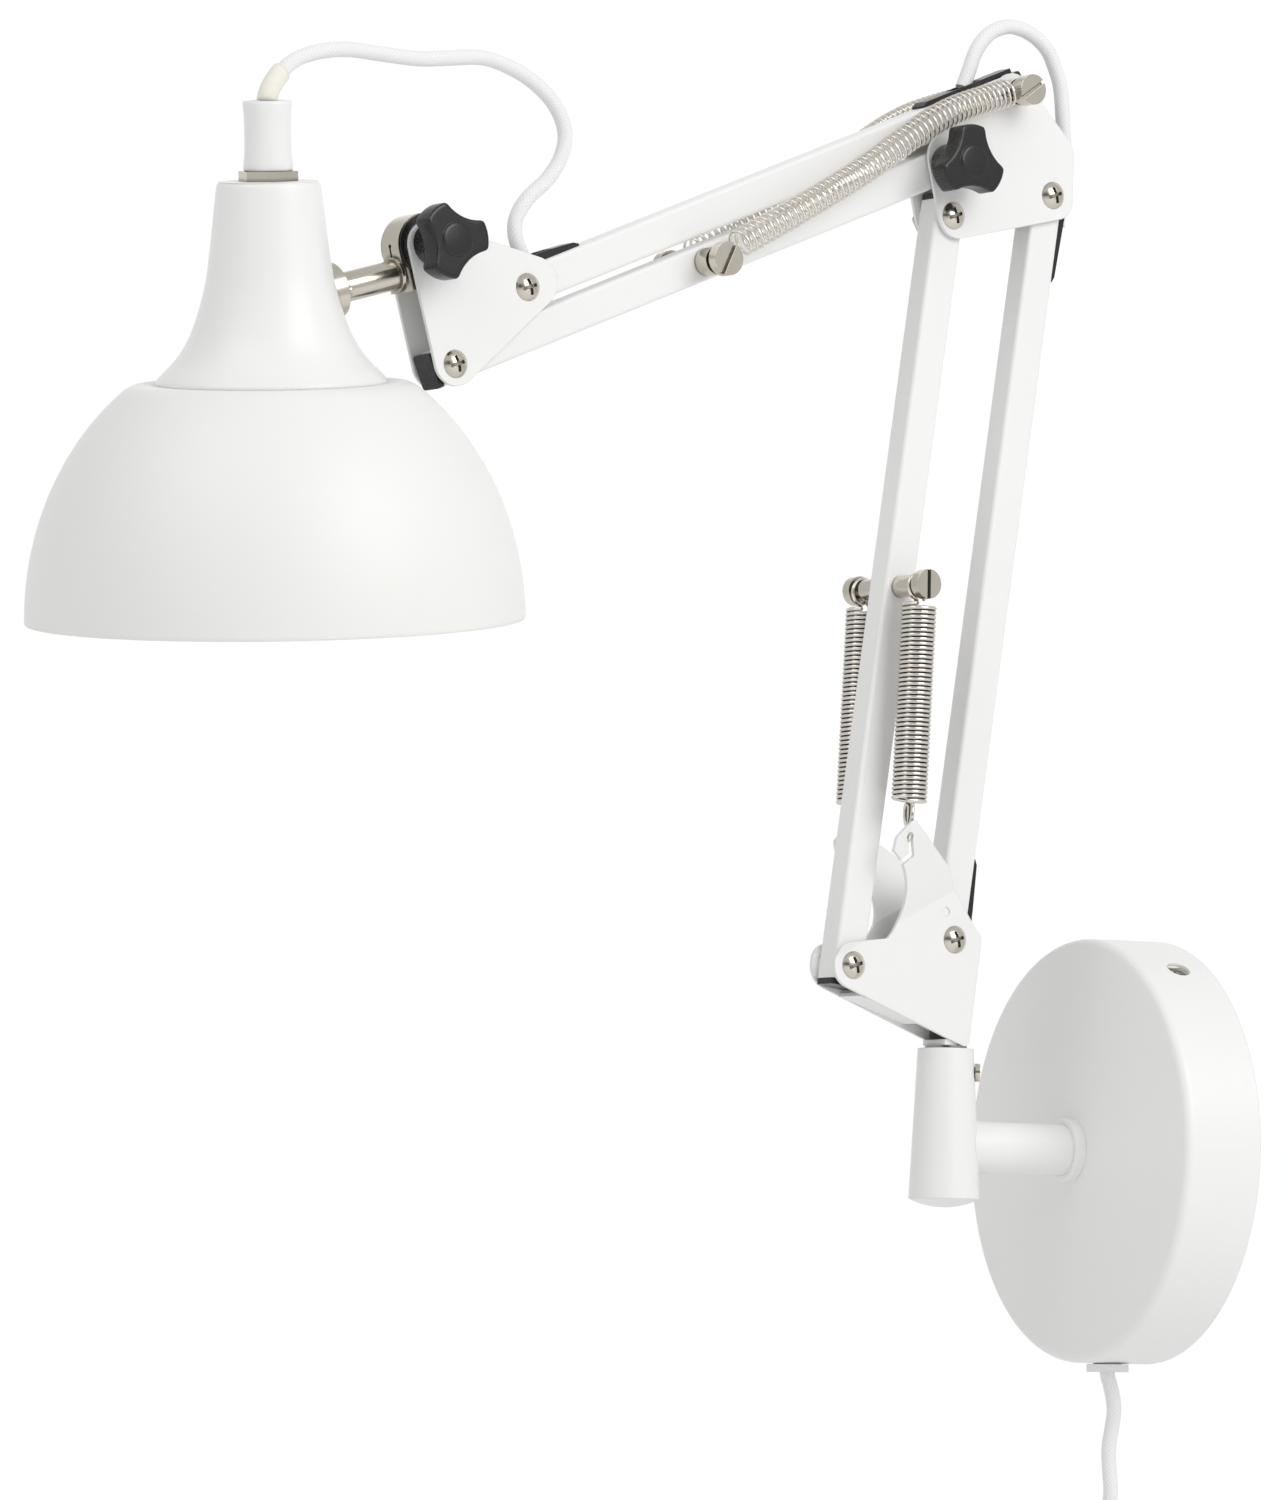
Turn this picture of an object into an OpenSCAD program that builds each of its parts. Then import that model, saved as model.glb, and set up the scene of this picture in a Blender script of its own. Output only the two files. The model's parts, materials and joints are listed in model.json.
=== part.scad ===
// Wall-mounted adjustable arm lamp: a round wall canopy carries a socket, and a
// spring-balanced double parallelogram arm rises from it to a bell-shaped shade.
// Frame: origin on the wall at the middle of the canopy, +Z up, the lamp stands out
// towards -Y.  Arm pieces are drawn in the arm's own upright plane: u runs forward
// from the swivel axis, w runs across the arm and z runs up.

/* [Canopy and wall socket] */
// Outer radius of the canopy on the wall
canopy_r = 75; // [65:1:90]
// Depth of the canopy at its rim
canopy_d = 30; // [26:1:34]
// Height of the shallow cone on the canopy's front
cone_h = 3; // [2:0.5:5]
// Sheet thickness of the canopy
canopy_t = 1.2; // [1:0.1:2]
// Distance of the swivel axis from the wall
axis_y = 84; // [80:1:90]
// Radius of the tube between canopy and socket
stub_r = 9; // [8:0.5:10]
// Height of the socket's top above the canopy's middle
socket_top = 34.3; // [32:0.1:36]
// Depth of the socket's rim below the canopy's middle
socket_low = 18.6; // [16:0.1:20]

/* [Arm] */
// Turn of the arm about the swivel axis, away from square to the wall
swing = 5.7; // [0:0.1:20]
// Distance between the pivots of each lower bar
lower_len = 269; // [240:1:300]
// Lean of the lower bars towards the wall, in degrees
lower_lean = 8.3; // [4:0.1:12]
// Distance between the pivots of each upper bar
upper_len = 222; // [200:1:240]
// Droop of the upper bars below level, in degrees
upper_droop = 22.5; // [10:0.5:24]
// Width of a bar in the arm's plane
bar_w = 12.4; // [12:0.1:13]
// Thickness of a bar across the arm
bar_t = 10.5; // [10:0.1:11]
// Length of a bar past its pivot
bar_end = 7.5; // [7:0.1:8]

/* [Shade] */
// Radius of the dome's rim
rim_r = 85; // [75:1:95]
// Height of the dome up to the bell's flange
dome_h = 80.6; // [75:0.1:90]
// Height of the bell's flat top above the rim
bell_top = 149; // [140:1:155]
// Turn of the shade about its tube, in degrees
shade_turn = 7; // [0:1:15]
// Sheet thickness of the shade
shade_t = 0.8; // [0.6:0.1:1.2]

/* [Springs and knobs] */
// Outer radius of a lower spring
lower_spring_r = 6.3; // [5:0.1:7]
// Outer radius of an upper spring
upper_spring_r = 5.2; // [4.5:0.1:6]
// Outer radius of a knob over its three lobes
knob_r = 13.3; // [12:0.1:14]
// Thickness of a knob's lobes
knob_t = 8; // [6:0.5:9]

/* [Cords] */
// Diameter of the textile cord
cord_d = 5.3; // [5:0.1:6]

/* [Hidden] */
$fn = 64;

white = [0.93, 0.93, 0.92];
cream = [0.95, 0.94, 0.91];
nickel = [0.72, 0.70, 0.66];
black = [0.1, 0.1, 0.1];

// Pivots in the arm's plane, as [u, z]
a1 = [45.6, 61.6];
a2 = [2.1, 72.3];
k1 = [10.7, 345];
p2 = [-18.4, 373.6];
lower_dir = [-sin(lower_lean), cos(lower_lean)];
upper_dir = [cos(upper_droop), -sin(upper_droop)];
e1 = a1 + lower_len * lower_dir;
e2 = a2 + lower_len * lower_dir;
h1 = k1 + upper_len * upper_dir;
h2 = p2 + upper_len * upper_dir;
hk = [227.5, 300.2];
p3 = a1 + 135.2 * lower_dir;
p1 = k1 + 108.6 * upper_dir;

// Stations across the arm, as distances from its middle plane
plate_in = 6.2;
plate_out = 7.5;
boss_r = 5.4;
boss_face = bar_t / 2 + 0.3;
bolt_r = 2.5;
bore_r = 2.58;
bar_wall = 1;

// ---------- helpers ----------

// Moves shapes from the arm's own frame (u, w, z) to the lamp's frame
module in_arm() {
    translate([0, -axis_y, 0]) rotate([0, 0, swing - 90]) children();
}

// A flat outline in u and z, given thickness from w0 to w1
module slab(w0, w1) {
    translate([0, w1, 0]) rotate([90, 0, 0]) linear_extrude(w1 - w0) children();
}

// A round pin along w
module pin(at, w0, w1, r) {
    translate([at[0], w0, at[1]]) rotate([-90, 0, 0]) cylinder(h = w1 - w0, r = r);
}

// A profile of [radius, w] points turned about a w axis through at
module turned(at) {
    translate([at[0], 0, at[1]]) rotate([-90, 0, 0]) rotate_extrude() children();
}

// Unit normal of the outer tangent between two circles given as [x, y, r]
function tangent_normal(a, b) =
    let (dx = b[0] - a[0], dy = b[1] - a[1], len = norm([dx, dy]),
         turn = acos((a[2] - b[2]) / len), dir = atan2(dy, dx) - turn)
    [cos(dir), sin(dir)];

// A convex plate whose outline runs round the circles c like a belt
module belt(c) {
    count = len(c);
    points = [for (i = [0 : count - 1])
        let (a = c[i], b = c[(i + 1) % count], n = tangent_normal(a, b))
        each [[a[0] + a[2] * n[0], a[1] + a[2] * n[1]],
              [b[0] + b[2] * n[0], b[1] + b[2] * n[1]]]];
    middle = [for (p = c) 1 / count] * [for (p = c) [p[0], p[1]]];
    polygon(points);
    for (p = c) translate([p[0], p[1]])
        rotate(atan2(middle[1] - p[1], middle[0] - p[0])) circle(r = p[2]);
}

// Lays a bar's own frame on the pivot at, with +x running along dir
module along(at, dir) {
    translate([at[0], 0, at[1]]) rotate([0, -atan2(dir[1], dir[0]), 0]) children();
}

function unit(v) = v / norm(v);

// A point on the smooth curve through p, in stretch i, at share t of it
function route_point(p, i, t) =
    let (last = len(p) - 1,
         a = p[max(i - 1, 0)], b = p[i], c = p[min(i + 1, last)], d = p[min(i + 2, last)])
    0.5 * (2 * b + (c - a) * t + (2 * a - 5 * b + 4 * c - d) * t * t
        + (3 * b - a - 3 * c + d) * t * t * t);

function smooth(p, steps) = [
    for (i = [0 : len(p) - 2]) for (s = [0 : steps - 1]) route_point(p, i, s / steps),
    p[len(p) - 1]];

function heading(q, i) = unit(q[min(i + 1, len(q) - 1)] - q[max(i - 1, 0)]);

// Side vectors that turn as little as they can from ring to ring
function side_vectors(q, i, before) =
    i >= len(q) ? [] :
    let (t = heading(q, i), s = unit(before - (before * t) * t))
    concat([s], side_vectors(q, i + 1, s));

// A round tube along the route p
module sweep(p, r, steps, sides) {
    q = smooth(p, steps);
    first = heading(q, 0);
    seed = abs(first[2]) < 0.8 ? [0, 0, 1] : [0.6, 0.8, 0];
    side = side_vectors(q, 0, unit(cross(first, seed)));
    rings = len(q);
    points = [for (i = [0 : rings - 1]) for (k = [0 : sides - 1])
        let (s = side[i], n = cross(heading(q, i), s), a = 360 * k / sides)
        q[i] + r * (cos(a) * s + sin(a) * n)];
    walls = [for (i = [0 : rings - 2]) for (k = [0 : sides - 1])
        let (j = (k + 1) % sides)
        [i * sides + k, (i + 1) * sides + k, (i + 1) * sides + j, i * sides + j]];
    near_cap = [for (k = [0 : sides - 1]) k];
    far_cap = [for (k = [sides - 1 : -1 : 0]) (rings - 1) * sides + k];
    polyhedron(points, concat(walls, [near_cap, far_cap]), convexity = 8);
}

// ---------- wall mount ----------

// The direction of the fixing strip behind the canopy, and its two screws
strip_angle = 57.8;
tab_r = 70;
screw_y = 13;
fixing_gap = 80;

module wall_plate() {
    color(nickel) rotate([0, -strip_angle, 0]) difference() {
        union() {
            translate([-tab_r, -1.5, -10]) cube([2 * tab_r, 1.5, 20]);
            for (side = [-1, 1])
                translate([side > 0 ? tab_r - 1.5 : -tab_r, -20, -10]) cube([1.5, 20, 20]);
        }
        for (side = [-1, 1]) {
            translate([side * fixing_gap / 2, 1, 0]) rotate([90, 0, 0]) cylinder(h = 4, r = 2.75);
            translate([side * (tab_r - 3), -screw_y, 0]) rotate([0, 90, 0])
                cylinder(h = 6, r = 2, center = true);
        }
        translate([0, 1, 0]) rotate([90, 0, 0]) cylinder(h = 4, r = 6);
        for (side = [-1, 1])
            translate([side * tab_r, -screw_y, 0]) rotate([0, 90, 0])
                cylinder(h = 6, r = 2, center = true);
    }
}

module canopy_profile(r, d, tip, edge) {
    polygon([[0, 0], [r, 0], [r, d - edge], [r - edge, d], [0, tip]]);
    translate([r - edge, d - edge]) circle(r = edge);
}

module canopy() {
    edge = 3;
    tip = canopy_d + cone_h;
    color(white) difference() {
        rotate([90, 0, 0]) rotate_extrude($fn = 128) intersection() {
            canopy_profile(canopy_r, canopy_d, tip, edge);
            square([canopy_r, tip]);
        }
        translate([0, 0.01, 0]) rotate([90, 0, 0]) rotate_extrude($fn = 128) intersection() {
            canopy_profile(canopy_r - canopy_t, canopy_d - canopy_t, tip - canopy_t, edge - canopy_t);
            square([canopy_r, tip]);
        }
        translate([0, -canopy_d + 8, 0]) rotate([90, 0, 0]) cylinder(h = 20, r = 6.06);
        rotate([0, -strip_angle, 0]) for (side = [-1, 1])
            translate([side * canopy_r, -screw_y, 0]) rotate([0, 90, 0])
                cylinder(h = 20, r = 4.2, center = true);
        translate([0, -gland_y, -canopy_r - 5]) cylinder(h = 12, r = 5.06);
    }
}

module canopy_screws() {
    reach = 8;
    color(nickel) rotate([0, -strip_angle, 0]) for (side = [0, 180]) rotate([0, side, 0])
        translate([tab_r - 4, -screw_y, 0]) rotate([0, 90, 0]) difference() {
            union() {
                cylinder(h = reach - 1.6, r = 1.98);
                translate([0, 0, reach - 3.6]) cylinder(h = 2.4, r = 3.8);
            }
            for (turn = [0, 90]) rotate([0, 0, turn])
                translate([-2, -0.4, reach - 2.2]) cube([4, 0.8, 3]);
        }
}

// The stub's threaded end passes through the canopy and takes a nut inside
module stub_tube() {
    thread_in = canopy_d - 12;
    tip = canopy_d + cone_h;
    color(white) rotate([90, 0, 0]) difference() {
        union() {
            translate([0, 0, thread_in]) cylinder(h = tip - thread_in + 5, r = 6);
            translate([0, 0, tip + 0.5]) cylinder(h = axis_y - 6.6 - tip, r = stub_r);
        }
        translate([0, 0, thread_in - 1]) cylinder(h = axis_y, r = 4);
        translate([0, 0, tip + 14]) cylinder(h = axis_y, r = stub_r - 2);
    }
}

module stub_collar() {
    tip = canopy_d + cone_h;
    slope = cone_h / (canopy_r - 3);
    r = 11.3;
    color(white) rotate([90, 0, 0]) rotate_extrude() difference() {
        union() {
            polygon([[6.06, tip - 6 * slope], [r, tip - r * slope], [r, tip + 2.4],
                [r - 1, tip + 3.4], [6.06, tip + 3.4]]);
            translate([r - 1, tip + 2.4]) circle(r = 1);
        }
        translate([0, tip + 0.5]) square([stub_r + 0.04, 10]);
    }
}

module stub_nut() {
    color(nickel) translate([0, -canopy_d + 4.6, 0]) rotate([90, 0, 0]) difference() {
        cylinder(h = 5, r = 9.8, $fn = 6);
        translate([0, 0, -1]) cylinder(h = 8, r = 6.04);
    }
}

// The socket takes the arm's swivel pin; its lower end is closed by a dome
module arm_socket() {
    top_r = 9.9;
    low_r = 12.5;
    dome = 2.9;
    dome_r = (low_r * low_r + dome * dome) / (2 * dome);
    color(white) translate([0, -axis_y, 0]) difference() {
        union() {
            translate([0, 0, -socket_low])
                cylinder(h = socket_low + socket_top, r1 = low_r, r2 = top_r);
            intersection() {
                translate([0, 0, -socket_low - dome + dome_r]) sphere(r = dome_r);
                translate([0, 0, -socket_low - dome]) cylinder(h = dome, r = low_r);
            }
        }
        translate([0, 0, 0]) cylinder(h = socket_top + 1, r = 5.05);
        translate([0, 0, -10]) cylinder(h = 14, r = 7);
        rotate([-90, 0, 0]) cylinder(h = 20, r = stub_r - 2);
        translate([0, 6, 0]) rotate([-90, 0, 0]) cylinder(h = 20, r = stub_r + 0.04);
        rotate([0, 0, screw_turn]) translate([0, 0, screw_z]) rotate([0, 90, 0])
            cylinder(h = 30, r = 2.04);
    }
}

// The set screw that brakes the swivel, on the side that faces the wall
screw_z = 26;
screw_turn = 62;
module set_screw() {
    reach = 5.3;
    head_at = 10.4;
    color(nickel) translate([0, -axis_y, screw_z]) rotate([0, 0, screw_turn]) rotate([0, 90, 0])
        difference() {
            union() {
                translate([0, 0, reach]) cylinder(h = head_at - reach + 1, r = 2);
                translate([0, 0, head_at]) cylinder(h = 1.7, r = 3.2);
            }
            translate([-4, -0.5, head_at + 0.9]) cube([8, 1, 2]);
        }
}

gland_y = 16;
gland_low = -canopy_r - 3;
module cord_gland() {
    color(white) translate([0, -gland_y, 0]) difference() {
        union() {
            translate([0, 0, -canopy_r - 0.9]) cylinder(h = 12, r = 5);
            translate([0, 0, gland_low]) cylinder(h = 2.7, r = 7.5);
            translate([0, 0, -canopy_r + 1.7]) cylinder(h = 4, r = 7, $fn = 6);
        }
        translate([0, 0, gland_low - 1]) cylinder(h = 20, r = cord_d / 2 + 0.03);
    }
}

block_at = [-35, -13.5, -8];
module terminal_block() {
    color("ivory") rotate([0, -strip_angle, 0]) translate(block_at) difference() {
        cube([20, 12, 16]);
        for (side = [-1, 1]) {
            translate([5, -1, 8 + 4 * side]) rotate([-90, 0, 0]) cylinder(h = 7, r = 1.8);
            translate([15, -1, 8 + 4 * side]) rotate([-90, 0, 0]) cylinder(h = 7, r = 1.8);
        }
    }
}

// The leads inside: from the terminals through the stub up into the swivel pin, and
// from the gland to the terminals
inner_lead_r = 2.4;
base_route = [[-8, -7.5, -12.7], [-5.5, -8.2, -8.8], [-2.6, -10.5, -4.2], [-0.5, -14, -0.8], [0, -20, 0],
    [0, -40, 0], [0, -60, 0], [0, -74, -1], [0, -81, 1.5], [0, -84, 7], [0, -84, 16]];
supply_route = [[0, -16, -66], [0, -16, -58], [-3, -13, -48], [-10, -9, -38], [-18.8, -7.5, -29.8]];
module base_lead() {
    color(white) {
        sweep(base_route, inner_lead_r, 2, 8);
        sweep(supply_route, inner_lead_r, 2, 8);
    }
}

// ---------- mains cord ----------

// The cord hangs from the gland, and what is left of it is tied in a hanging coil
coil_r = 31.8;
coil_x = -2;
coil_y = -16;
coil_z = -195;
coil_half = 1.5 * (cord_d + 0.1);
cord_route = [[0, -16, -66], [0, -16, -74], [0, -16, -79], [0.7, -14.8, -84], [0.6, -13.4, -91],
    [-0.9, -13.4, -98], [-1.8, -14, -105], [-1.8, -13.6, -113], [-1.8, -13, -121],
    [-4.2, -13.2, -133], [-9.6, -13, -146], [-16.6, -12.2, -159.5]];
tail_x = coil_x - coil_r - 5.4;
tail_route = [[tail_x, -21.4, -206], [tail_x, -21.4, -214], [tail_x, -21, -226], [tail_x, -20, -240]];

module mains_cord() {
    color(white) sweep(cord_route, cord_d / 2, 2, 10);
}

module plug_lead() {
    color(white) sweep(tail_route, cord_d / 2, 2, 10);
}

module mains_coil() {
    color(white) translate([coil_x, coil_y, coil_z]) rotate([90, 0, 0]) rotate_extrude()
        translate([coil_r - coil_half, -coil_half]) square(2 * coil_half);
}

module cord_tie() {
    inner = coil_half + 0.4;
    color(black) translate([coil_x, coil_y, coil_z + coil_r]) difference() {
        translate([-4, -inner - 1.2, -inner - 1.8]) cube([8, 2 * inner + 2.4, 2 * inner + 3]);
        translate([-5, -inner, -inner - 0.6]) cube([10, 2 * inner, 2 * inner + 0.6]);
    }
}

// A flat two-pin plug; its body hangs in line with the cord
plug_top = -240;
plug_h = 44;
module mains_plug() {
    waist = 5;
    color(white) translate([tail_x, -20, plug_top]) {
        translate([0, 0, -16]) cylinder(h = 16, r1 = 6, r2 = 3.9);
        difference() {
            translate([0, 6.5, 0]) rotate([90, 0, 0]) linear_extrude(13)
                polygon([[-7, -12], [7, -12], [12.5, -22], [17.5, -30], [17.5, -plug_h],
                    [-17.5, -plug_h], [-17.5, -30], [-12.5, -22]]);
            for (side = [-1, 1]) translate([side * 9.5, 0, -plug_h - 1])
                cylinder(h = 8 + waist, r = 2.02);
        }
    }
}

module plug_pins() {
    color(nickel) translate([tail_x, -20, plug_top - plug_h]) for (side = [-1, 1])
        translate([side * 9.5, 0, 0]) {
            translate([0, 0, -17]) cylinder(h = 27, r = 2);
            translate([0, 0, -18.2]) cylinder(h = 1.2, r1 = 1.2, r2 = 2);
        }
}

// ---------- shared arm pieces ----------

// A square tube with rounded corners, bored for its two pivots; x runs along it
module bar(len, start, end, extra_bores = []) {
    corner = 1.4;
    difference() {
        translate([-start, 0, 0]) rotate([90, 0, 90]) linear_extrude(start + len + end) difference() {
            rounded_rect(bar_t, bar_w, corner);
            rounded_rect(bar_t - 2 * bar_wall, bar_w - 2 * bar_wall, corner - 0.9);
        }
        for (x = concat([0, len], extra_bores))
            translate([x, -bar_t, 0]) rotate([-90, 0, 0]) cylinder(h = 2 * bar_t, r = bore_r);
    }
}

module rounded_rect(x, y, r) {
    square([x - 2 * r, y], center = true);
    square([x, y - 2 * r], center = true);
    for (i = [-1, 1]) for (j = [-1, 1])
        translate([i * (x / 2 - r), j * (y / 2 - r)]) circle(r = r);
}

// The black cap pressed into a bar's end; x = 0 is the cut, +x points outwards
module bar_plug() {
    cap = 2.2;
    inner_y = bar_t - 2 * bar_wall - 0.04;
    inner_z = bar_w - 2 * bar_wall - 0.04;
    rotate([90, 0, 90]) {
        translate([0, 0, -cap]) linear_extrude(cap) rounded_rect(bar_t, bar_w, 1.4);
        translate([0, 0, -cap - 1.6]) linear_extrude(1.6) rounded_rect(inner_y, inner_z, 0.5);
    }
}

// The tube stops short of the pivot's full overhang by the plug's cap
module bar_pair_plugs(len, start, end) {
    translate([len + end, 0, 0]) bar_plug();
    translate([-start, 0, 0]) rotate([0, 180, 0]) bar_plug();
}

plug_cap = 2.2;
module plugged_bar(len, start, end) {
    bar(len, start - plug_cap, end - plug_cap);
}

// A cross-head bolt that a bracket's bars turn on, with its nut behind
module pivot_bolt(at) {
    head_r = 4.9;
    head_h = 2.2;
    dome_r = (head_r * head_r + head_h * head_h) / (2 * head_h);
    translate([at[0], 0, at[1]]) rotate([-90, 0, 0]) {
        translate([0, 0, -plate_out - 4]) cylinder(h = 2 * plate_out + 4, r = bolt_r);
        difference() {
            intersection() {
                translate([0, 0, plate_out + head_h - dome_r]) sphere(r = dome_r);
                translate([0, 0, plate_out]) cylinder(h = head_h, r = head_r);
            }
            for (turn = [0, 90]) rotate([0, 0, turn + 20])
                translate([-2.9, -0.6, plate_out + head_h - 1.5]) cube([5.8, 1.2, 2]);
        }
        translate([0, 0, -plate_out - 3.8]) cylinder(h = 3.8, r = 4.6, $fn = 6);
    }
}

// The rings that keep a bar clear of the two plates
module bosses(at) {
    bite = 0.2;
    for (side = [-1, 1])
        translate([at[0], side > 0 ? boss_face : -plate_in - bite, at[1]])
            rotate([-90, 0, 0]) cylinder(h = plate_in + bite - boss_face, r = boss_r);
}

module bore_at(at, r = bore_r) {
    pin(at, -20, 20, r);
}

// A long low grommet on a bar's face, open at its high end where the lead comes out
module grommet(long, rise) {
    wide = 7.2;
    difference() {
        union() {
            translate([1, -2.9, -1.6]) cube([long - 9.5, 5.8, 2]);
            translate([0, wide / 2, 0]) rotate([90, 0, 0]) linear_extrude(wide)
                polygon([[0, 0], [long, 0], [long, rise], [long - 4, rise], [2, 1.8], [0, 0.8]]);
        }
        translate([long - 8, -2.75, -4]) cube([12, 5.5, 12]);
    }
}

// ---------- shoulder ----------

// The plates are flat up to a bend line, and flare outwards above it
bend_at = [10, 86];
bend_dir = [0.892, -0.452];
flare = 21.5;
hook_hole = [29.8, 106.8];

module lower_plate_outline() {
    belt([[-2.6, 37.2, 2.2], [a1[0], a1[1], 8.2], [-6.3, 72.8, 3.2]]);
    difference() {
        belt([[-5.9, 73.4, 2.6], [35, 70, 2], [34.2, 105.6, 2], [29.2, 110.3, 2.2],
            [25.4, 107.3, 2.4], [10.2, 95.6, 3]]);
        translate([43.9, 84.8]) circle(r = 18.4);
        hook_slot();
    }
}

// The spring's hook is dropped in from the side and drawn up to the slot's end
module hook_slot() {
    half = 1.1;
    route = [hook_hole, [27.4, 100.8], [33.6, 96]];
    translate(hook_hole) circle(r = 1.4);
    translate(route[1]) circle(r = half + 0.2);
    for (i = [0, 1]) let (step = route[i + 1] - route[i])
        translate(route[i]) rotate(atan2(step[1], step[0]))
            translate([0, -half]) square([norm(step), 2 * half]);
}

// A long sheet with its bend on the bend line
module bent_sheet(side) {
    half = (plate_out - plate_in) / 2;
    mid = (plate_in + plate_out) / 2;
    long = 60;
    corner = [half, -half * tan(flare / 2)];
    far = [long * sin(flare), long * cos(flare)];
    across = [half * cos(flare), -half * sin(flare)];
    line = [[mid - half, -long], [mid + half, -long], [mid, 0] + corner, [mid, 0] + far + across,
        [mid, 0] + far - across, [mid, 0] - corner];
    along(bend_at, bend_dir) translate([-long, 0, 0]) rotate([90, 0, 90])
        linear_extrude(2 * long) polygon([for (p = line) [side * p[0], p[1]]]);
}

module lower_plate(side) {
    reach = 25;
    intersection() {
        bent_sheet(side);
        slab(side > 0 ? 5 : -reach, side > 0 ? reach : -5) lower_plate_outline();
    }
}

// Two plates, joined by a strip along the lower edge and by a foot on the swivel pin
module lower_bracket() {
    web_start = [41.6, 51.6];
    web_end = [13.9, 43];
    web_dir = unit(web_end - web_start);
    color(white) in_arm() difference() {
        union() {
            for (side = [-1, 1]) lower_plate(side);
            bosses(a1);
            bosses(a2);
            along(web_start, web_dir) translate([0, -plate_in - 0.3, -0.9])
                cube([norm(web_end - web_start), 2 * plate_in + 0.6, 1.4]);
            translate([-3.4, -plate_in - 0.3, 35.3]) cube([8.6, 2 * plate_in + 0.6, 2]);
        }
        bore_at(a1);
        bore_at(a2);
        for (side = [-1, 1]) translate([6.1, side * (plate_out + 0.6), 82]) rotate([-90, 0, 0])
            cylinder(h = 2, r = 1.6, center = true);
        translate([0, 0, 30]) cylinder(h = 10, r = 4.04);
    }
}

// A hollow pin that turns in the socket and carries the bracket's foot
module swivel_pin() {
    color(nickel) in_arm() difference() {
        union() {
            translate([0, 0, 10]) cylinder(h = socket_top - 10, r = 5);
            translate([0, 0, socket_top + 0.1]) cylinder(h = 0.8, r = 7.5);
            translate([0, 0, socket_top - 1]) cylinder(h = 10, r = 4);
        }
        translate([0, 0, 3]) cylinder(h = 50, r = 3);
        difference() {
            translate([0, 0, screw_z - 2.5]) cylinder(h = 5, r = 6);
            translate([0, 0, screw_z - 3]) cylinder(h = 6, r = 4.2);
        }
    }
}

module swivel_nut() {
    color(black) in_arm() translate([0, 0, 37.3]) difference() {
        cylinder(h = 4.5, r = 6.2, $fn = 6);
        translate([0, 0, -1]) cylinder(h = 8, r = 4.03);
    }
}

module shoulder_bolts() {
    color(nickel) in_arm() {
        pivot_bolt(a1);
        pivot_bolt(a2);
    }
}

// ---------- lower bars ----------

module lower_left_bar() {
    color(white) in_arm() along(a1, lower_dir) difference() {
        plugged_bar(lower_len, bar_end, bar_end);
        translate([135.2, -bar_t, 0]) rotate([-90, 0, 0]) cylinder(h = 2 * bar_t, r = 3.04);
    }
}

module lower_left_plugs() {
    color(black) in_arm() along(a1, lower_dir) bar_pair_plugs(lower_len, bar_end, bar_end);
}

module lower_right_bar() {
    color(white) in_arm() along(a2, lower_dir) difference() {
        plugged_bar(lower_len, bar_end, bar_end);
        translate([8.4, -3, bar_w / 2 - 3]) cube([20.9, 6, 6]);
        translate([lower_len - 28.8, -3, bar_w / 2 - 3]) cube([26.4, 6, 6]);
    }
}

module lower_right_plugs() {
    color(black) in_arm() along(a2, lower_dir) bar_pair_plugs(lower_len, bar_end, bar_end);
}

module lower_grommets() {
    color(black) in_arm() along(a2, lower_dir) {
        translate([30.3, 0, bar_w / 2]) rotate([0, 0, 180]) grommet(21.8, 2.6);
        translate([lower_len - 29.8, 0, bar_w / 2]) grommet(27.3, 2.8);
    }
}

// The lead inside the right-hand bar, from grommet to grommet
module lower_lead() {
    color(white) in_arm() along(a2, lower_dir)
        sweep([[14, 0, 1.9], [24, 0, 1.4], [38, 0, 0], [lower_len / 2, 0, 0],
            [lower_len - 36, 0, 0], [lower_len - 24, 0, 1.4], [lower_len - 12, 0, 1.9]],
            inner_lead_r, 2, 8);
}

// The lead between the shoulder's plates, from the grommet down to the swivel pin
shoulder_route = [[-7.6, 0, 79], [-7.5, 0, 73], [-7.2, 0, 66], [-5.6, 0, 58.5], [-2.8, 0, 51.5],
    [-0.3, 0, 45.5], [0, 0, 40], [0, 0, 34]];
module shoulder_lead() {
    color(white) in_arm() sweep(shoulder_route, cord_d / 2, 2, 10);
}

// A pin through a bar with a sleeve, a groove and a slotted head at each end
module spring_pin(at, from, groove_at, groove, head_end, sleeve_r, head_r, slot_turn) {
    slot_deep = 1.6;
    core = head_end - slot_deep - 0.2;
    turned(at) {
        translate([0, -core]) square([2.4, 2 * core]);
        for (side = [-1, 1]) {
            translate([0, side > 0 ? from : -groove_at]) square([sleeve_r, groove_at - from]);
            translate([0, side > 0 ? groove_at : -groove_at - groove]) square([3.2, groove]);
        }
    }
    for (side = [0, 180]) translate([at[0], 0, at[1]]) rotate([0, 0, side]) rotate([-90, 0, 0])
        translate([0, 0, groove_at + groove]) difference() {
            cylinder(h = head_end - groove_at - groove, r = head_r);
            rotate([0, 0, slot_turn]) translate([-8, -0.7, head_end - groove_at - groove - slot_deep])
                cube([16, 1.4, 2]);
        }
}

module lower_spring_pin() {
    color(nickel) in_arm() {
        spring_pin(p3, bar_t / 2, 14.9, 3.8, 22.5, 3.9, 5.2, 90);
        pin(p3, -bar_t / 2, bar_t / 2, 3);
    }
}

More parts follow.
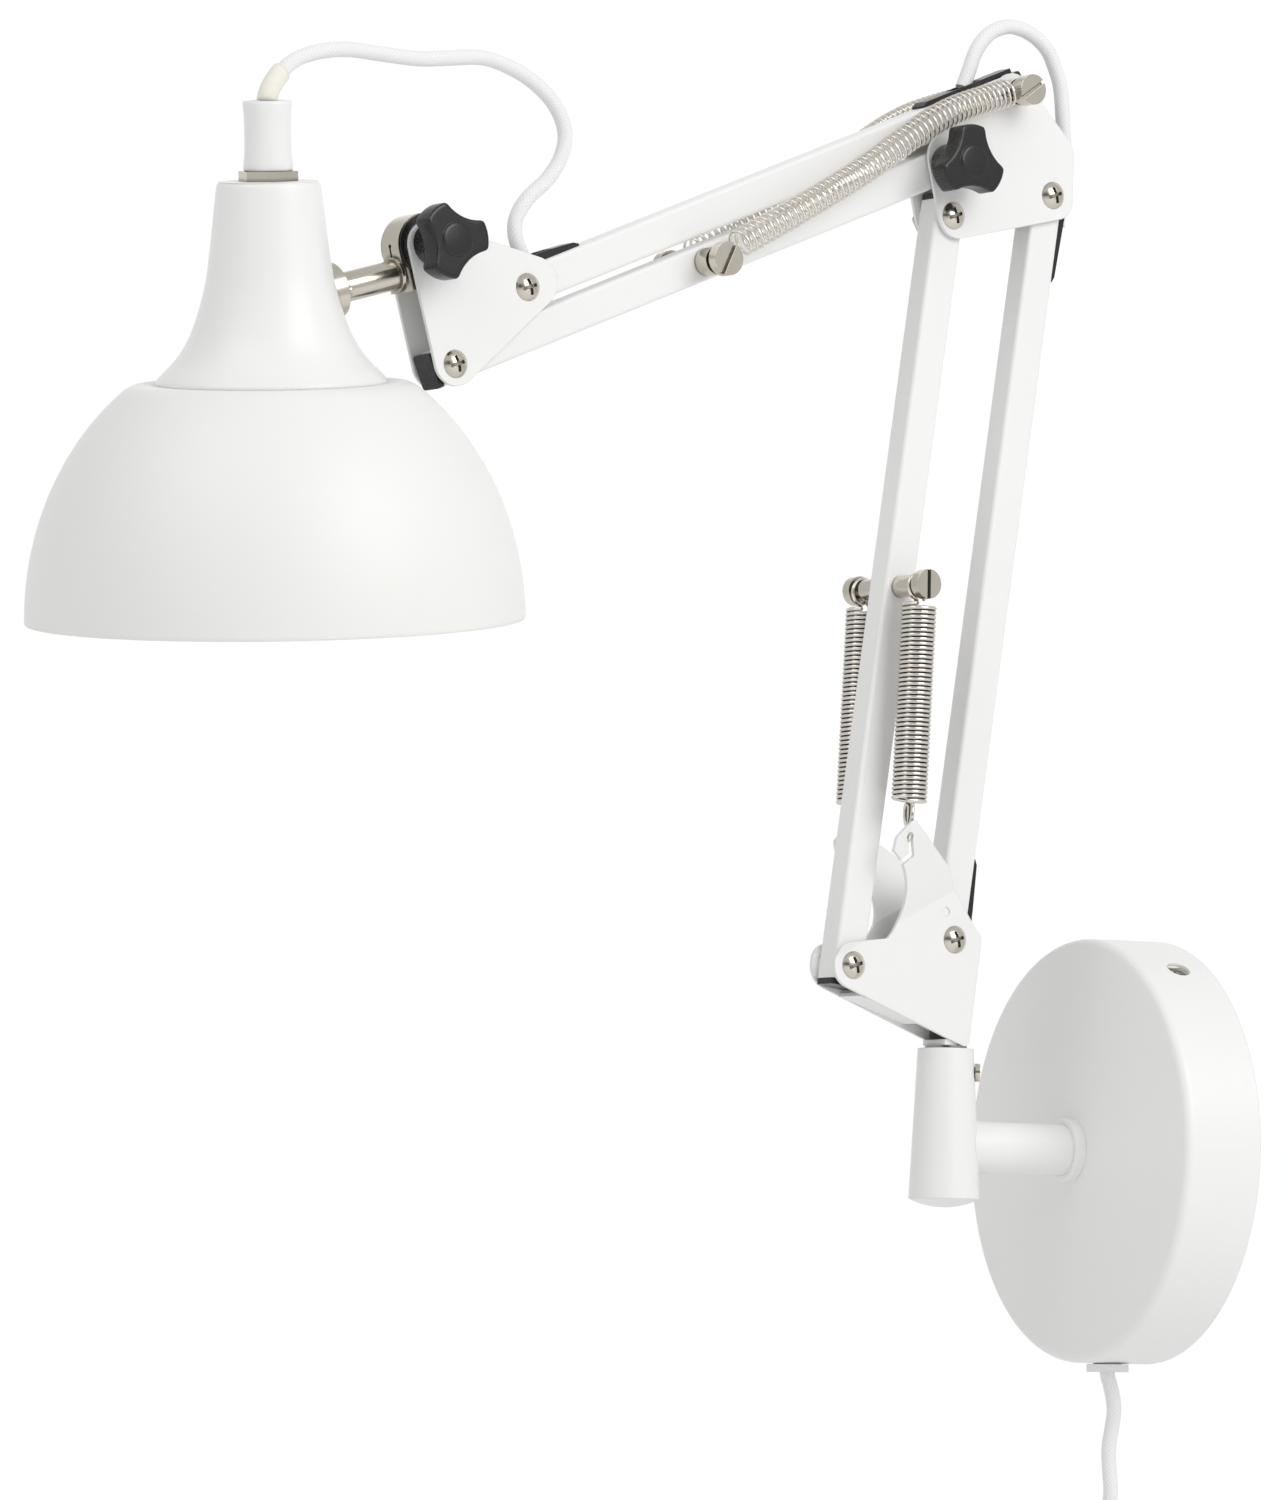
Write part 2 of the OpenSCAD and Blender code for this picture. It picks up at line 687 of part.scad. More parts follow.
// A coil spring's barrel, with its loop round the pin and its hook in the plate
lower_spring_w = 16.8;
lower_spring_top = [26.2, 188.4];
lower_spring_low = [29.4, 119.1];
module lower_spring(side) {
    w = side * lower_spring_w;
    dir = unit(lower_spring_low - lower_spring_top);
    reach = norm(lower_spring_low - lower_spring_top);
    wire = 0.7;
    coil = lower_spring_r - wire;
    along(lower_spring_top, dir) translate([0, w, 0]) rotate([0, 90, 0]) difference() {
        cylinder(h = reach, r = lower_spring_r);
        translate([0, 0, -1]) cylinder(h = reach + 2, r = lower_spring_r - 2 * wire);
    }
    sweep([[lower_spring_low[0] - coil, w, 121], [29.3 - coil, w, 118.2], [27.4, w, 114.6],
        [29.6, w, 111], [29.8, w - side * 1, 108.4], [29.8, w + side * 0.6, 106],
        [29.9, w + side * 2.4, 107.2]], wire, 2, 8);
    sweep([[lower_spring_top[0] + coil, w, 186.6], [lower_spring_top[0] + coil, w, 190.4],
        [p3[0] + 4.1, w, 193.6], [p3[0] + 3.2, w, 197.9], [p3[0], w, 199.5], [p3[0] - 3.2, w, 197.9],
        [p3[0] - 4.1, w, 195.2]], wire, 2, 8);
}

module lower_spring_front() {
    color(nickel) in_arm() lower_spring(1);
}

module lower_spring_rear() {
    color(nickel) in_arm() lower_spring(-1);
}

// ---------- elbow ----------

module elbow_bracket() {
    color(white) in_arm() difference() {
        union() {
            for (side = [-1, 1]) slab(side > 0 ? plate_in : -plate_out, side > 0 ? plate_out : -plate_in)
                belt([[-38.4, 337, 7], [4.4, 328.6, 8.7], [9, 348.2, 8.9],
                    [-18.8, 373, 7.6], [-37.6, 353, 8.2]]);
            bosses(e1);
            bosses(e2);
            bosses(k1);
            bosses(p2);
        }
        bore_at(e1);
        bore_at(e2);
        bore_at(k1, 3.06);
        bore_at(p2, 3.06);
    }
}

module elbow_bolts() {
    color(nickel) in_arm() {
        pivot_bolt(e1);
        pivot_bolt(e2);
    }
}

module upper_spring_anchor() {
    color(nickel) in_arm() {
        spring_pin(p2, plate_out, 11.6, 3, 20, 4.8, 5.4, 35);
        pin(p2, -plate_out, plate_out, 3);
    }
}

// The bolt under a knob: its square shank is held in the rear plate
module clamp_bolt(at) {
    pin(at, -plate_out - 3, 20.4, 3);
    pin(at, plate_out, 9.2, 5);
    pin(at, -plate_out - 3, -plate_out, 6);
}

module elbow_clamp_bolt() {
    color(nickel) in_arm() clamp_bolt(k1);
}

// A black three-lobed clamp knob on a hub, with a round cap in its face
module knob(at, turn) {
    base = 9.4;
    face = 25;
    rim = 0.5;
    in_arm() translate([at[0], 0, at[1]]) rotate([-90, 0, 0]) difference() {
        union() {
            cylinder(h = face - 2, r = 7.5);
            translate([0, 0, face - knob_t]) linear_extrude(knob_t - rim) rotate(-turn) knob_outline(0);
            translate([0, 0, face - rim]) linear_extrude(rim) rotate(-turn) knob_outline(rim);
            translate([0, 0, face]) cylinder(h = 0.5, r = 5.8);
        }
        translate([0, 0, -1]) cylinder(h = base + 1, r = 9);
        translate([0, 0, 0]) cylinder(h = 21, r = 3.05);
    }
}

// Three lobes, left between three wide hollows
module knob_outline(inset) {
    hollow_r = 16.8;
    difference() {
        circle(r = knob_r - inset);
        for (k = [0 : 2]) rotate(60 + 120 * k) translate([knob_r + 12.1, 0]) circle(r = hollow_r + inset);
    }
}

module elbow_knob() {
    color(black) knob(k1, 88);
}

// ---------- upper bars ----------

module upper_top_bar() {
    color(white) in_arm() along(p2, upper_dir) difference() {
        bar(upper_len, bar_end - plug_cap, bar_end - plug_cap);
        translate([0, -bar_t, 0]) rotate([-90, 0, 0]) cylinder(h = 2 * bar_t, r = 3.08);
        translate([6, -3, bar_w / 2 - 3]) cube([29, 6, 6]);
        translate([upper_len - 27.2, -3, bar_w / 2 - 3]) cube([24, 6, 6]);
    }
}

module upper_top_plugs() {
    color(black) in_arm() along(p2, upper_dir) bar_pair_plugs(upper_len, bar_end, bar_end);
}

module upper_grommets() {
    color(black) in_arm() along(p2, upper_dir) {
        elbow_grommet();
        translate([upper_len - 28.2, 0, bar_w / 2]) grommet(18.4, 2.8);
    }
}

// The grommet next to the elbow is a closed collar with a long hole for the lead
module elbow_grommet() {
    wide = 7.2;
    translate([0, 0, bar_w / 2]) difference() {
        union() {
            translate([21.4, -2.9, -1.6]) cube([13, 5.8, 2]);
            translate([0, wide / 2, 0]) rotate([90, 0, 0]) linear_extrude(wide)
                polygon([[-5, 0], [36, 0], [36, 0.8], [34, 1.8], [-5, 1.8]]);
        }
        translate([8, -2.75, -4]) cube([13, 5.5, 12]);
    }
}

module upper_lead() {
    color(white) in_arm() along(p2, upper_dir)
        sweep([[14, 0, 1.9], [24, 0, 1.4], [38, 0, 0], [upper_len / 2, 0, 0],
            [upper_len - 36, 0, 0], [upper_len - 24, 0, 1.4], [upper_len - 12, 0, 1.9]],
            inner_lead_r, 2, 8);
}

module upper_bottom_bar() {
    color(white) in_arm() along(k1, upper_dir) difference() {
        bar(upper_len, 5.5 - plug_cap, bar_end - plug_cap);
        translate([0, -bar_t, 0]) rotate([-90, 0, 0]) cylinder(h = 2 * bar_t, r = 3.08);
        translate([108.6, -bar_t, 0]) rotate([-90, 0, 0]) cylinder(h = 2 * bar_t, r = 3.04);
    }
}

module upper_bottom_plugs() {
    color(black) in_arm() along(k1, upper_dir) difference() {
        bar_pair_plugs(upper_len, 5.5, bar_end);
        translate([0, -bar_t, 0]) rotate([-90, 0, 0]) cylinder(h = 2 * bar_t, r = 3.08);
    }
}

module upper_spring_pin() {
    color(nickel) in_arm() {
        spring_pin(p1, bar_t / 2, 12.4, 3, 19.4, 5, 5.9, 65);
        pin(p1, -bar_t / 2, bar_t / 2, 3);
    }
}

// The upper springs run from the anchor over the knob's hub down to their pin
function upper_spring_route(side) = [[-12.4, side * 13.2, 372.6], [-0.6, side * 13.4, 368.8],
    [10.6, side * 13.5, 364.7], [20.9, side * 13.4, 359.5], [30.6, side * 13.5, 353.2],
    [42, side * 13.6, 345.3], [54, side * 13.6, 337.4], [78, side * 13.7, 323.4],
    [103.4, side * 13.8, 309.4]];

// The route p with both ends drawn out by the length more
function drawn_out(p, more) = let (last = len(p) - 1) concat(
    [p[0] + more * unit(p[0] - p[1])],
    [for (i = [1 : last - 1]) p[i]],
    [p[last] + more * unit(p[last] - p[last - 1])]);

module upper_spring(side) {
    wire = 1.1;
    barrel = upper_spring_route(side);
    difference() {
        sweep(barrel, upper_spring_r, 1, 12);
        sweep(drawn_out(barrel, 1), upper_spring_r - wire, 1, 12);
    }
    sweep([[-12, side * 9, 374.2], [-12.8, side * 11, 376.2], [-14, side * 12.9, 377.2],
        [-18.4, side * 13.1, 377.9], [-22, side * 13.1, 375.8], [-22.7, side * 13.1, 372]], 0.7, 2, 8);
    sweep([[102.5, side * 9.2, 309.9], [105, side * 10.6, 306.4], [106.6, side * 13, 302.6],
        [108.4, side * 13.9, 300.2], [111, side * 13.9, 299.4], [114.6, side * 13.9, 301.4],
        [115.2, side * 13.9, 304.6]], 0.7, 2, 8);
}

module upper_spring_front() {
    color(nickel) in_arm() upper_spring(1);
}

module upper_spring_rear() {
    color(nickel) in_arm() upper_spring(-1);
}

// The lead's loop over the elbow, from the right-hand bar to the top bar, as [u, w, z]
elbow_loop = [[-45.5, 0, 335], [-46.7, 0, 341], [-47.3, 0, 347], [-47, 0, 356], [-46.2, 0, 367],
    [-45, 0, 378], [-42.6, 0, 385], [-38.8, 0, 391.6], [-32, 0, 396.4], [-23.6, 0, 398.4],
    [-16.4, 0, 396.8], [-11, 0, 393], [-7.2, 0, 387.6], [-5, 0, 382.2], [-3.2, 0, 377.6],
    [-1.6, 0, 374.6]];
module elbow_lead() {
    color(white) in_arm() sweep(elbow_loop, cord_d / 2, 2, 10);
}

// ---------- head ----------

module head_bracket() {
    color(white) in_arm() difference() {
        union() {
            for (side = [-1, 1]) slab(side > 0 ? plate_in : -plate_out, side > 0 ? plate_out : -plate_in)
                belt([[183.4, 290.6, 8.9], [215.6, 261, 8.5], [227.3, 300, 8.2]]);
            bosses(h1);
            bosses(h2);
        }
        bore_at(h1);
        bore_at(h2);
        bore_at(hk, 3.06);
    }
}

module head_bolts() {
    color(nickel) in_arm() {
        pivot_bolt(h1);
        pivot_bolt(h2);
    }
}

module head_clamp_bolt() {
    color(nickel) in_arm() clamp_bolt(hk);
}

module head_knob() {
    color(black) knob(hk, 168);
}

// The tube's axis runs from the yoke down to the shade's neck
tube_tilt = -16.3;
tube_dir = [cos(tube_tilt), sin(tube_tilt)];
tube_drop = 7.6;
tube_r = 5.15;
yoke_half = 5.3;
yoke_r = 11;
tube_start = hk + yoke_r * tube_dir - tube_drop * [-tube_dir[1], tube_dir[0]];

// A bent strap: two cheeks on the clamp bolt, joined by a face that takes the tube
module head_yoke() {
    wall = 1.4;
    color(nickel) in_arm() along(hk, tube_dir) difference() {
        union() {
            for (side = [-1, 1]) slab(side > 0 ? yoke_half - wall : -yoke_half,
                side > 0 ? yoke_half : wall - yoke_half)
                belt([[0, 0, yoke_r], [1, -9, 4], [9.6, -12.8, 1.4]]);
            translate([yoke_r - wall, -yoke_half, -14.2]) cube([wall, 2 * yoke_half, 14.4]);
            intersection() {
                difference() {
                    pin([0, 0], -yoke_half, yoke_half, yoke_r);
                    pin([0, 0], -yoke_half - 1, yoke_half + 1, yoke_r - wall);
                }
                translate([-3, -yoke_half - 1, 0]) cube([20, 2 * yoke_half + 2, 20]);
            }
        }
        bore_at([0, 0], 3.06);
        translate([yoke_r - 3, 0, -tube_drop]) rotate([0, 90, 0]) cylinder(h = 6, r = 3.5);
        translate([yoke_r - 3, -0.45, -3]) cube([6, 0.9, 5]);
        translate([yoke_r - 3, 0, 2]) rotate([0, 90, 0]) cylinder(h = 6, r = 0.85);
    }
}

module yoke_discs() {
    gap = 0.05;
    color(black) in_arm() for (side = [-1, 1])
        translate([hk[0], side > 0 ? yoke_half + gap : gap - plate_in, hk[1]]) rotate([-90, 0, 0]) difference() {
            cylinder(h = plate_in - yoke_half - 2 * gap, r = yoke_r - 0.4);
            translate([0, 0, -1]) cylinder(h = 4, r = 3.06);
        }
}

// ---------- shade ----------

// The shade's frame: its axis is z with the rim at 0, and the mount on its -x side
shade_lean = 9.6;
mount_z = 106.7;
mount_face = 26.6;
mount_screw = 7.6;
hub_reach = 52.3;
tube_len = hub_reach - mount_face - 0.3;
module in_shade() {
    in_arm() along(tube_start, tube_dir) rotate([-shade_turn, 0, 0])
        translate([hub_reach, 0, 0]) rotate([0, -shade_lean, 0]) translate([0, 0, -mount_z]) children();
}

module shade_tube() {
    flange = 1.2;
    color(nickel) in_arm() along(tube_start, tube_dir) rotate([0, 90, 0]) difference() {
        union() {
            cylinder(h = tube_len, r = tube_r);
            translate([0, 0, -2.9]) cylinder(h = 3, r = 3.45);
            cylinder(h = flange, r = 6.2);
        }
        translate([0, 0, -4]) cylinder(h = 8, r = 2.2);
        translate([0, 0, tube_len - 8]) cylinder(h = 9, r = 3.05);
    }
}

// The outer line of the bell, as [radius, height above the rim]
bell_line = [[39.3, 80.6], [39, 81.6], [38.2, 82.9], [36, 85.3], [33, 88.3], [30.6, 91.2], [28.6, 94.3],
    [27, 97.6], [25.5, 101.8], [23.8, 106.6], [22.4, 111], [21.2, 116.4], [20.2, 124.8],
    [19, 134], [17.9, 144], [17.4, 147.6], [16.4, 149]];
module shade_bell() {
    inner = [for (i = [len(bell_line) - 1 : -1 : 0])
        [bell_line[i][0] - shade_t, i > len(bell_line) - 3 ? bell_line[i][1] - shade_t
            : max(bell_line[i][1] - shade_t, 80.6)]];
    color(white) in_shade() difference() {
        rotate_extrude($fn = 96) difference() {
            polygon(concat([[0, 80.6]], bell_line, [[0, bell_top]]));
            polygon(concat([[0, bell_top - shade_t]], inner, [[0, 80.6]]));
        }
        translate([0, 0, bell_top - 3]) cylinder(h = 6, r = 5.04);
        mount_bores();
    }
}

// Bores in the neck for the mount's stud and its two screws
module mount_bores() {
    translate([0, 0, mount_z]) rotate([0, shade_lean, 0]) rotate([0, -90, 0]) {
        cylinder(h = 40, r = 3.04);
        for (side = [-1, 1]) translate([0, side * mount_screw, 0]) cylinder(h = 40, r = 1.3);
    }
}

// A plate on the neck with the stud that the tube turns on
module shade_mount() {
    plate_r = 9.6;
    stud = 6;
    color(nickel) in_shade() translate([0, 0, mount_z]) rotate([0, shade_lean, 0])
        rotate([0, -90, 0]) {
            difference() {
                translate([0, 0, 20]) cylinder(h = mount_face - 20, r = plate_r);
                bell_core();
            }
            translate([0, 0, 20]) cylinder(h = mount_face - 20 + stud, r = 3);
            for (side = [-1, 1]) translate([0, side * mount_screw, 0]) {
                translate([0, 0, 19]) cylinder(h = mount_face - 19, r = 1.25);
                translate([0, 0, mount_face]) cylinder(h = 1.1, r = 1.9);
            }
        }
}

// The bell's own body, in the mount's frame, cut away so the plate lies on the neck
module bell_core() {
    rotate([0, 90, 0]) rotate([0, -shade_lean, 0]) translate([0, 0, -mount_z])
        rotate_extrude($fn = 96) polygon(concat([[0, 80.6]], bell_line, [[0, bell_top]]));
}

// The dome's outline is an elliptical arc that rolls over to a flat top
dome_axis = 97.5;
function dome_line(inset) = [for (a = [0 : 6 : 54])
    [(rim_r - inset) * cos(a), (dome_axis - inset) * sin(a)]];
module shade_dome() {
    outer = concat([[0, 0]], dome_line(0), [[48, 79.8], [44, dome_h], [20, dome_h]]);
    inner = concat([[0, -1], [rim_r - shade_t, -1]], dome_line(shade_t),
        [[47.8, 79.6 - shade_t], [43.9, dome_h - shade_t], [0, dome_h - shade_t]]);
    color(cream) in_shade() rotate_extrude($fn = 128) difference() {
        polygon(concat(outer, [[0, dome_h]]));
        polygon(inner);
        square([24, 200]);
    }
}

// A screw-shell lamp holder that hangs from the threaded nipple in the bell's top
module lamp_holder() {
    color(white) in_shade() difference() {
        union() {
            translate([0, 0, 62]) cylinder(h = 46, r = 16);
            translate([0, 0, 108]) cylinder(h = 10, r1 = 16, r2 = 9);
            translate([0, 0, 117]) cylinder(h = bell_top - 117 + 14, r = 5);
            translate([0, 0, 74]) cylinder(h = 3, r = 18.4);
        }
        translate([0, 0, 61]) cylinder(h = 34, r = 13.3);
        translate([0, 0, 90]) cylinder(h = 90, r = 3);
    }
}

module top_nut() {
    color(nickel) in_shade() translate([0, 0, bell_top]) difference() {
        rotate([0, 0, 12]) cylinder(h = 3.4, r = 10.4, $fn = 6);
        translate([0, 0, -1]) cylinder(h = 6, r = 5.03);
    }
}

// The plastic cap that clamps the cord above the shade
module cable_cap() {
    color(white) in_shade() difference() {
        translate([0, 0, bell_top + 3.4]) rotate_extrude() polygon([[0, 0], [8.4, 0], [8.4, 1.2],
            [8, 5], [7.9, 12], [8, 18], [8.4, 22.6], [8, 23.2], [0, 23.2]]);
        translate([0, 0, bell_top]) cylinder(h = 15, r = 5.03);
        translate([0, 0, bell_top]) cylinder(h = 40, r = cord_d / 2 + 0.35);
    }
}

// The lead from the top bar over to the shade, as [u, w, z] in the arm's frame
head_route = [[182.9, 0, 296.1], [184.5, 0, 300.6], [187.2, 0, 306.6], [187, 0, 313], [182.6, 0.3, 320.2],
    [174.6, 0.6, 327.6], [169.4, 1, 335.8], [168.4, 1.5, 344.6], [173.4, 2.2, 353.4], [182.6, 3, 360.2],
    [193.8, 3.8, 364.6], [205, 4.5, 366.5], [218, 5.2, 365.2], [232, 6, 363.6],
    [248.6, 6.8, 363.8], [261.6, 7.4, 364], [273.2, 7.9, 362.2], [283.2, 8.3, 358.4],
    [290, 8.6, 352.4], [293.8, 8.6, 346], [293.7, 8, 340], [293, 7.2, 334]];
module head_lead() {
    color(white) in_arm() sweep(head_route, cord_d / 2, 1, 10);
}

wall_plate();
canopy();
canopy_screws();
stub_collar();
stub_tube();
stub_nut();
arm_socket();
set_screw();
cord_gland();
terminal_block();
base_lead();
mains_cord();
mains_coil();
cord_tie();
plug_lead();
mains_plug();
plug_pins();
lower_bracket();
swivel_pin();
swivel_nut();
shoulder_bolts();
lower_left_bar();
lower_left_plugs();
lower_spring_pin();
lower_spring_front();
lower_spring_rear();
lower_right_bar();
lower_right_plugs();
lower_grommets();
lower_lead();
shoulder_lead();
elbow_bracket();
elbow_bolts();
upper_spring_anchor();
elbow_clamp_bolt();
elbow_knob();
upper_top_bar();
upper_top_plugs();
upper_grommets();
upper_lead();
elbow_lead();
upper_bottom_bar();
upper_bottom_plugs();
upper_spring_pin();
upper_spring_front();
upper_spring_rear();
head_bracket();
head_bolts();
head_clamp_bolt();
head_knob();
head_yoke();
yoke_discs();
shade_tube();
shade_mount();
shade_bell();
shade_dome();
lamp_holder();
top_nut();
cable_cap();
head_lead();
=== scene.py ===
import json
import math

import bpy
import numpy as np
from mathutils import Matrix, Vector


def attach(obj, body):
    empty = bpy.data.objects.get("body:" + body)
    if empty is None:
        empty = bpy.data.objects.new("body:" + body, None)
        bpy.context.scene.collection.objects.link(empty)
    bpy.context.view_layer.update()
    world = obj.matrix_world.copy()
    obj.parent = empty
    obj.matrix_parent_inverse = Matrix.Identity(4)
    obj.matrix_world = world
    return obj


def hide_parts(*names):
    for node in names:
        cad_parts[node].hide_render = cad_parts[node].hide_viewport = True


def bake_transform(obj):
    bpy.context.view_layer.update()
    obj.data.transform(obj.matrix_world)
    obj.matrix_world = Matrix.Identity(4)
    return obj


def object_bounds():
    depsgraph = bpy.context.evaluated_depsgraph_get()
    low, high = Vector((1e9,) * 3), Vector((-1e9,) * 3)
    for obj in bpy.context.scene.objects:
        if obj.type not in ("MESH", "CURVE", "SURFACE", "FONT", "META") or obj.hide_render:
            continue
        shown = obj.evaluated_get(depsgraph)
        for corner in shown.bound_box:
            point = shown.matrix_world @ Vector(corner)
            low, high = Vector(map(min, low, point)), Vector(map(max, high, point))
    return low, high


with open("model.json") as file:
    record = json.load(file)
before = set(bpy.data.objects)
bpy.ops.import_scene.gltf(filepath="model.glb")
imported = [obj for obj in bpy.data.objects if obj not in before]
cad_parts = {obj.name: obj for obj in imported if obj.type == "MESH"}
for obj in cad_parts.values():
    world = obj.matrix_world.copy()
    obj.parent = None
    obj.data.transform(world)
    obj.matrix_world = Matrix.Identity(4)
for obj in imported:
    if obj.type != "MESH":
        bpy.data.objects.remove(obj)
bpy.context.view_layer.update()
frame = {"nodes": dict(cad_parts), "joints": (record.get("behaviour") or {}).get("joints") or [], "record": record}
NODES = frame["nodes"]
JOINTS = {j["name"]: j for j in frame["joints"]}
MM = 0.001

# The arm's own frame: u runs forward from the swivel axis, w across the arm, z up
SWING = math.radians(5.7)
U = Vector((math.sin(SWING), -math.cos(SWING), 0))
W = Vector((math.cos(SWING), math.sin(SWING), 0))
Z = Vector((0, 0, 1))
# The upright pin that the arm swings on
SWIVEL = Vector((0, -84, 0)) * MM


def arm(u, w, z):
    """A point in the arm's frame, in millimetres, as a point in the scene, in metres."""
    return SWIVEL + (U * u + W * w + Z * z) * MM


def arm_point(p):
    return arm(p[0], p[1], p[2])


# ---------- camera ----------

EYE = Vector((3.2020, -1.9553, -0.1207))
VIEW_BACK = Vector((0.8756, -0.4780, -0.0696)).normalized()
VIEW_UP = Vector((0.0539, -0.0466, 0.9975))
LENS = 253.1


def make_camera():
    right = VIEW_UP.cross(VIEW_BACK).normalized()
    up = VIEW_BACK.cross(right)
    data = bpy.data.cameras.new("camera")
    data.lens = LENS
    data.sensor_width = 36
    data.clip_start = 0.05
    data.clip_end = 60
    camera = bpy.data.objects.new("camera", data)
    turn = Matrix((right, up, VIEW_BACK)).transposed().to_4x4()
    camera.matrix_world = Matrix.Translation(EYE) @ turn
    bpy.context.scene.collection.objects.link(camera)
    bpy.context.scene.camera = camera


# ---------- node graphs ----------


class Graph:
    """A short way to build one material's nodes."""

    def __init__(self, name):
        self.material = bpy.data.materials.new(name)
        self.material.use_nodes = True
        self.tree = self.material.node_tree
        self.shader = self.tree.nodes["Principled BSDF"]

    def add(self, kind, **inputs):
        node = self.tree.nodes.new(kind)
        for name, value in inputs.items():
            self.put(node.inputs[name.replace("_", " ")], value)
        return node

    def put(self, socket, value):
        if isinstance(value, bpy.types.NodeSocket):
            self.tree.links.new(value, socket)
        else:
            socket.default_value = value

    def math(self, operation, a, b=0.0):
        node = self.tree.nodes.new("ShaderNodeMath")
        node.operation = operation
        for socket, value in zip(node.inputs, (a, b)):
            self.put(socket, value)
        return node.outputs[0]

    def coordinates(self, which="Object"):
        return self.tree.nodes.new("ShaderNodeTexCoord").outputs[which]

    def noise(self, scale, detail=2.0, roughness=0.5, vector=None):
        node = self.add("ShaderNodeTexNoise", Scale=scale, Detail=detail, Roughness=roughness)
        self.put(node.inputs["Vector"], vector if vector else self.coordinates())
        return node.outputs["Fac"]

    def stretch(self, scale):
        node = self.tree.nodes.new("ShaderNodeMapping")
        self.put(node.inputs["Vector"], self.coordinates())
        node.inputs["Scale"].default_value = scale
        return node.outputs["Vector"]

    def span(self, value, low, high, start=0.0, stop=1.0):
        node = self.tree.nodes.new("ShaderNodeMapRange")
        self.put(node.inputs["Value"], value)
        node.inputs["From Min"].default_value = start
        node.inputs["From Max"].default_value = stop
        node.inputs["To Min"].default_value = low
        node.inputs["To Max"].default_value = high
        return node.outputs["Result"]

    def blend(self, factor, first, second):
        node = self.tree.nodes.new("ShaderNodeMix")
        node.data_type = "RGBA"
        self.put(node.inputs["Factor"], factor)
        node.inputs["A"].default_value = (*first, 1)
        node.inputs["B"].default_value = (*second, 1)
        return node.outputs["Result"]

    def bump(self, height, distance, strength=1.0, rounding=0.0):
        """Fine relief; rounding, in metres, also softens the look of sharp edges."""
        node = self.add("ShaderNodeBump", Height=height, Distance=distance, Strength=strength)
        if rounding:
            edge = self.add("ShaderNodeBevel", Radius=rounding)
            edge.samples = 6
            self.put(node.inputs["Normal"], edge.outputs["Normal"])
        self.put(self.shader.inputs["Normal"], node.outputs["Normal"])

    def set(self, **inputs):
        for name, value in inputs.items():
            self.put(self.shader.inputs[name.replace("_", " ")], value)


def powder_coat():
    """Satin white paint with a faint grain."""
    g = Graph("white_powder_coat")
    cloud = g.noise(14, 3)
    grain = g.noise(2600, 2, 0.6)
    g.set(
        Base_Color=g.blend(cloud, (0.87, 0.87, 0.86), (0.9, 0.9, 0.893)),
        Roughness=g.span(grain, 0.3, 0.42),
        Specular_IOR_Level=0.5,
    )
    g.bump(grain, 0.00003, 0.5, 0.0005)
    return g.material


def shade_enamel():
    """Off-white satin enamel with a very slight orange peel."""
    g = Graph("shade_enamel")
    cloud = g.noise(9, 3)
    peel = g.noise(420, 2)
    g.set(
        Base_Color=g.blend(cloud, (0.865, 0.862, 0.84), (0.89, 0.888, 0.87)),
        Roughness=g.span(peel, 0.42, 0.5),
    )
    g.bump(peel, 0.00003, 0.25)
    return g.material


def nickel():
    """Turned and plated steel with fine scratches; its colour is darkened in its slots and corners as painted
    shade.
    """
    g = Graph("satin_nickel")
    fine = g.noise(900, 4, 0.6, g.stretch((1, 1, 0.12)))
    cloud = g.noise(60, 2)
    # Painted shade: the base colour is darkened where occlusion finds slots and corners close by.
    corner = g.add("ShaderNodeAmbientOcclusion", Distance=0.0015)
    corner.samples = 6
    clear = g.math("POWER", corner.outputs["AO"], 1.6)
    shade = g.math("MULTIPLY", clear, g.span(cloud, 0.8, 1.0))
    g.set(
        Base_Color=g.blend(shade, (0.05, 0.045, 0.04), (0.74, 0.69, 0.6)),
        Metallic=1.0,
        Roughness=g.span(fine, 0.12, 0.26),
    )
    g.bump(fine, 0.00002, 0.4, 0.0002)
    return g.material


def spring_wire():
    """Bright drawn steel wire; its colour is darkened as painted shade where turns and parts lie close."""
    g = Graph("spring_wire")
    draw = g.noise(700, 3, 0.6)
    # Painted shade: the base colour is darkened where occlusion finds other turns or parts close by.
    corner = g.add("ShaderNodeAmbientOcclusion", Distance=0.0012)
    corner.samples = 6
    clear = g.math("POWER", corner.outputs["AO"], 2.6)
    shade = g.math("MULTIPLY", clear, g.span(draw, 0.85, 1.0))
    g.set(
        Base_Color=g.blend(shade, (0.045, 0.04, 0.035), (0.94, 0.9, 0.83)),
        Metallic=1.0,
        Roughness=g.span(draw, 0.14, 0.26),
    )
    g.bump(draw, 0.00001, 0.3)
    return g.material


def dark_steel():
    """Blackened steel of the swivel's nut."""
    g = Graph("blackened_steel")
    cloud = g.noise(300, 3)
    g.set(
        Base_Color=g.blend(cloud, (0.03, 0.03, 0.03), (0.06, 0.058, 0.055)),
        Metallic=0.8,
        Roughness=g.span(cloud, 0.35, 0.5),
    )
    g.bump(cloud, 0.00002, 0.4)
    return g.material


def black_plastic():
    """Moulded black plastic with a fine texture."""
    g = Graph("black_plastic")
    grain = g.noise(2200, 2)
    cloud = g.noise(40, 2)
    g.set(
        Base_Color=g.blend(cloud, (0.009, 0.009, 0.01), (0.015, 0.015, 0.016)),
        Roughness=g.span(grain, 0.2, 0.34),
    )
    g.bump(grain, 0.00002, 0.4, 0.0003)
    return g.material


def white_plastic():
    """Smooth moulded white plastic."""
    g = Graph("white_plastic")
    cloud = g.noise(30, 2)
    grain = g.noise(1800, 2)
    g.set(
        Base_Color=g.blend(cloud, (0.86, 0.86, 0.85), (0.89, 0.89, 0.885)),
        Roughness=g.span(grain, 0.28, 0.38),
    )
    g.bump(grain, 0.00002, 0.3, 0.0004)
    return g.material


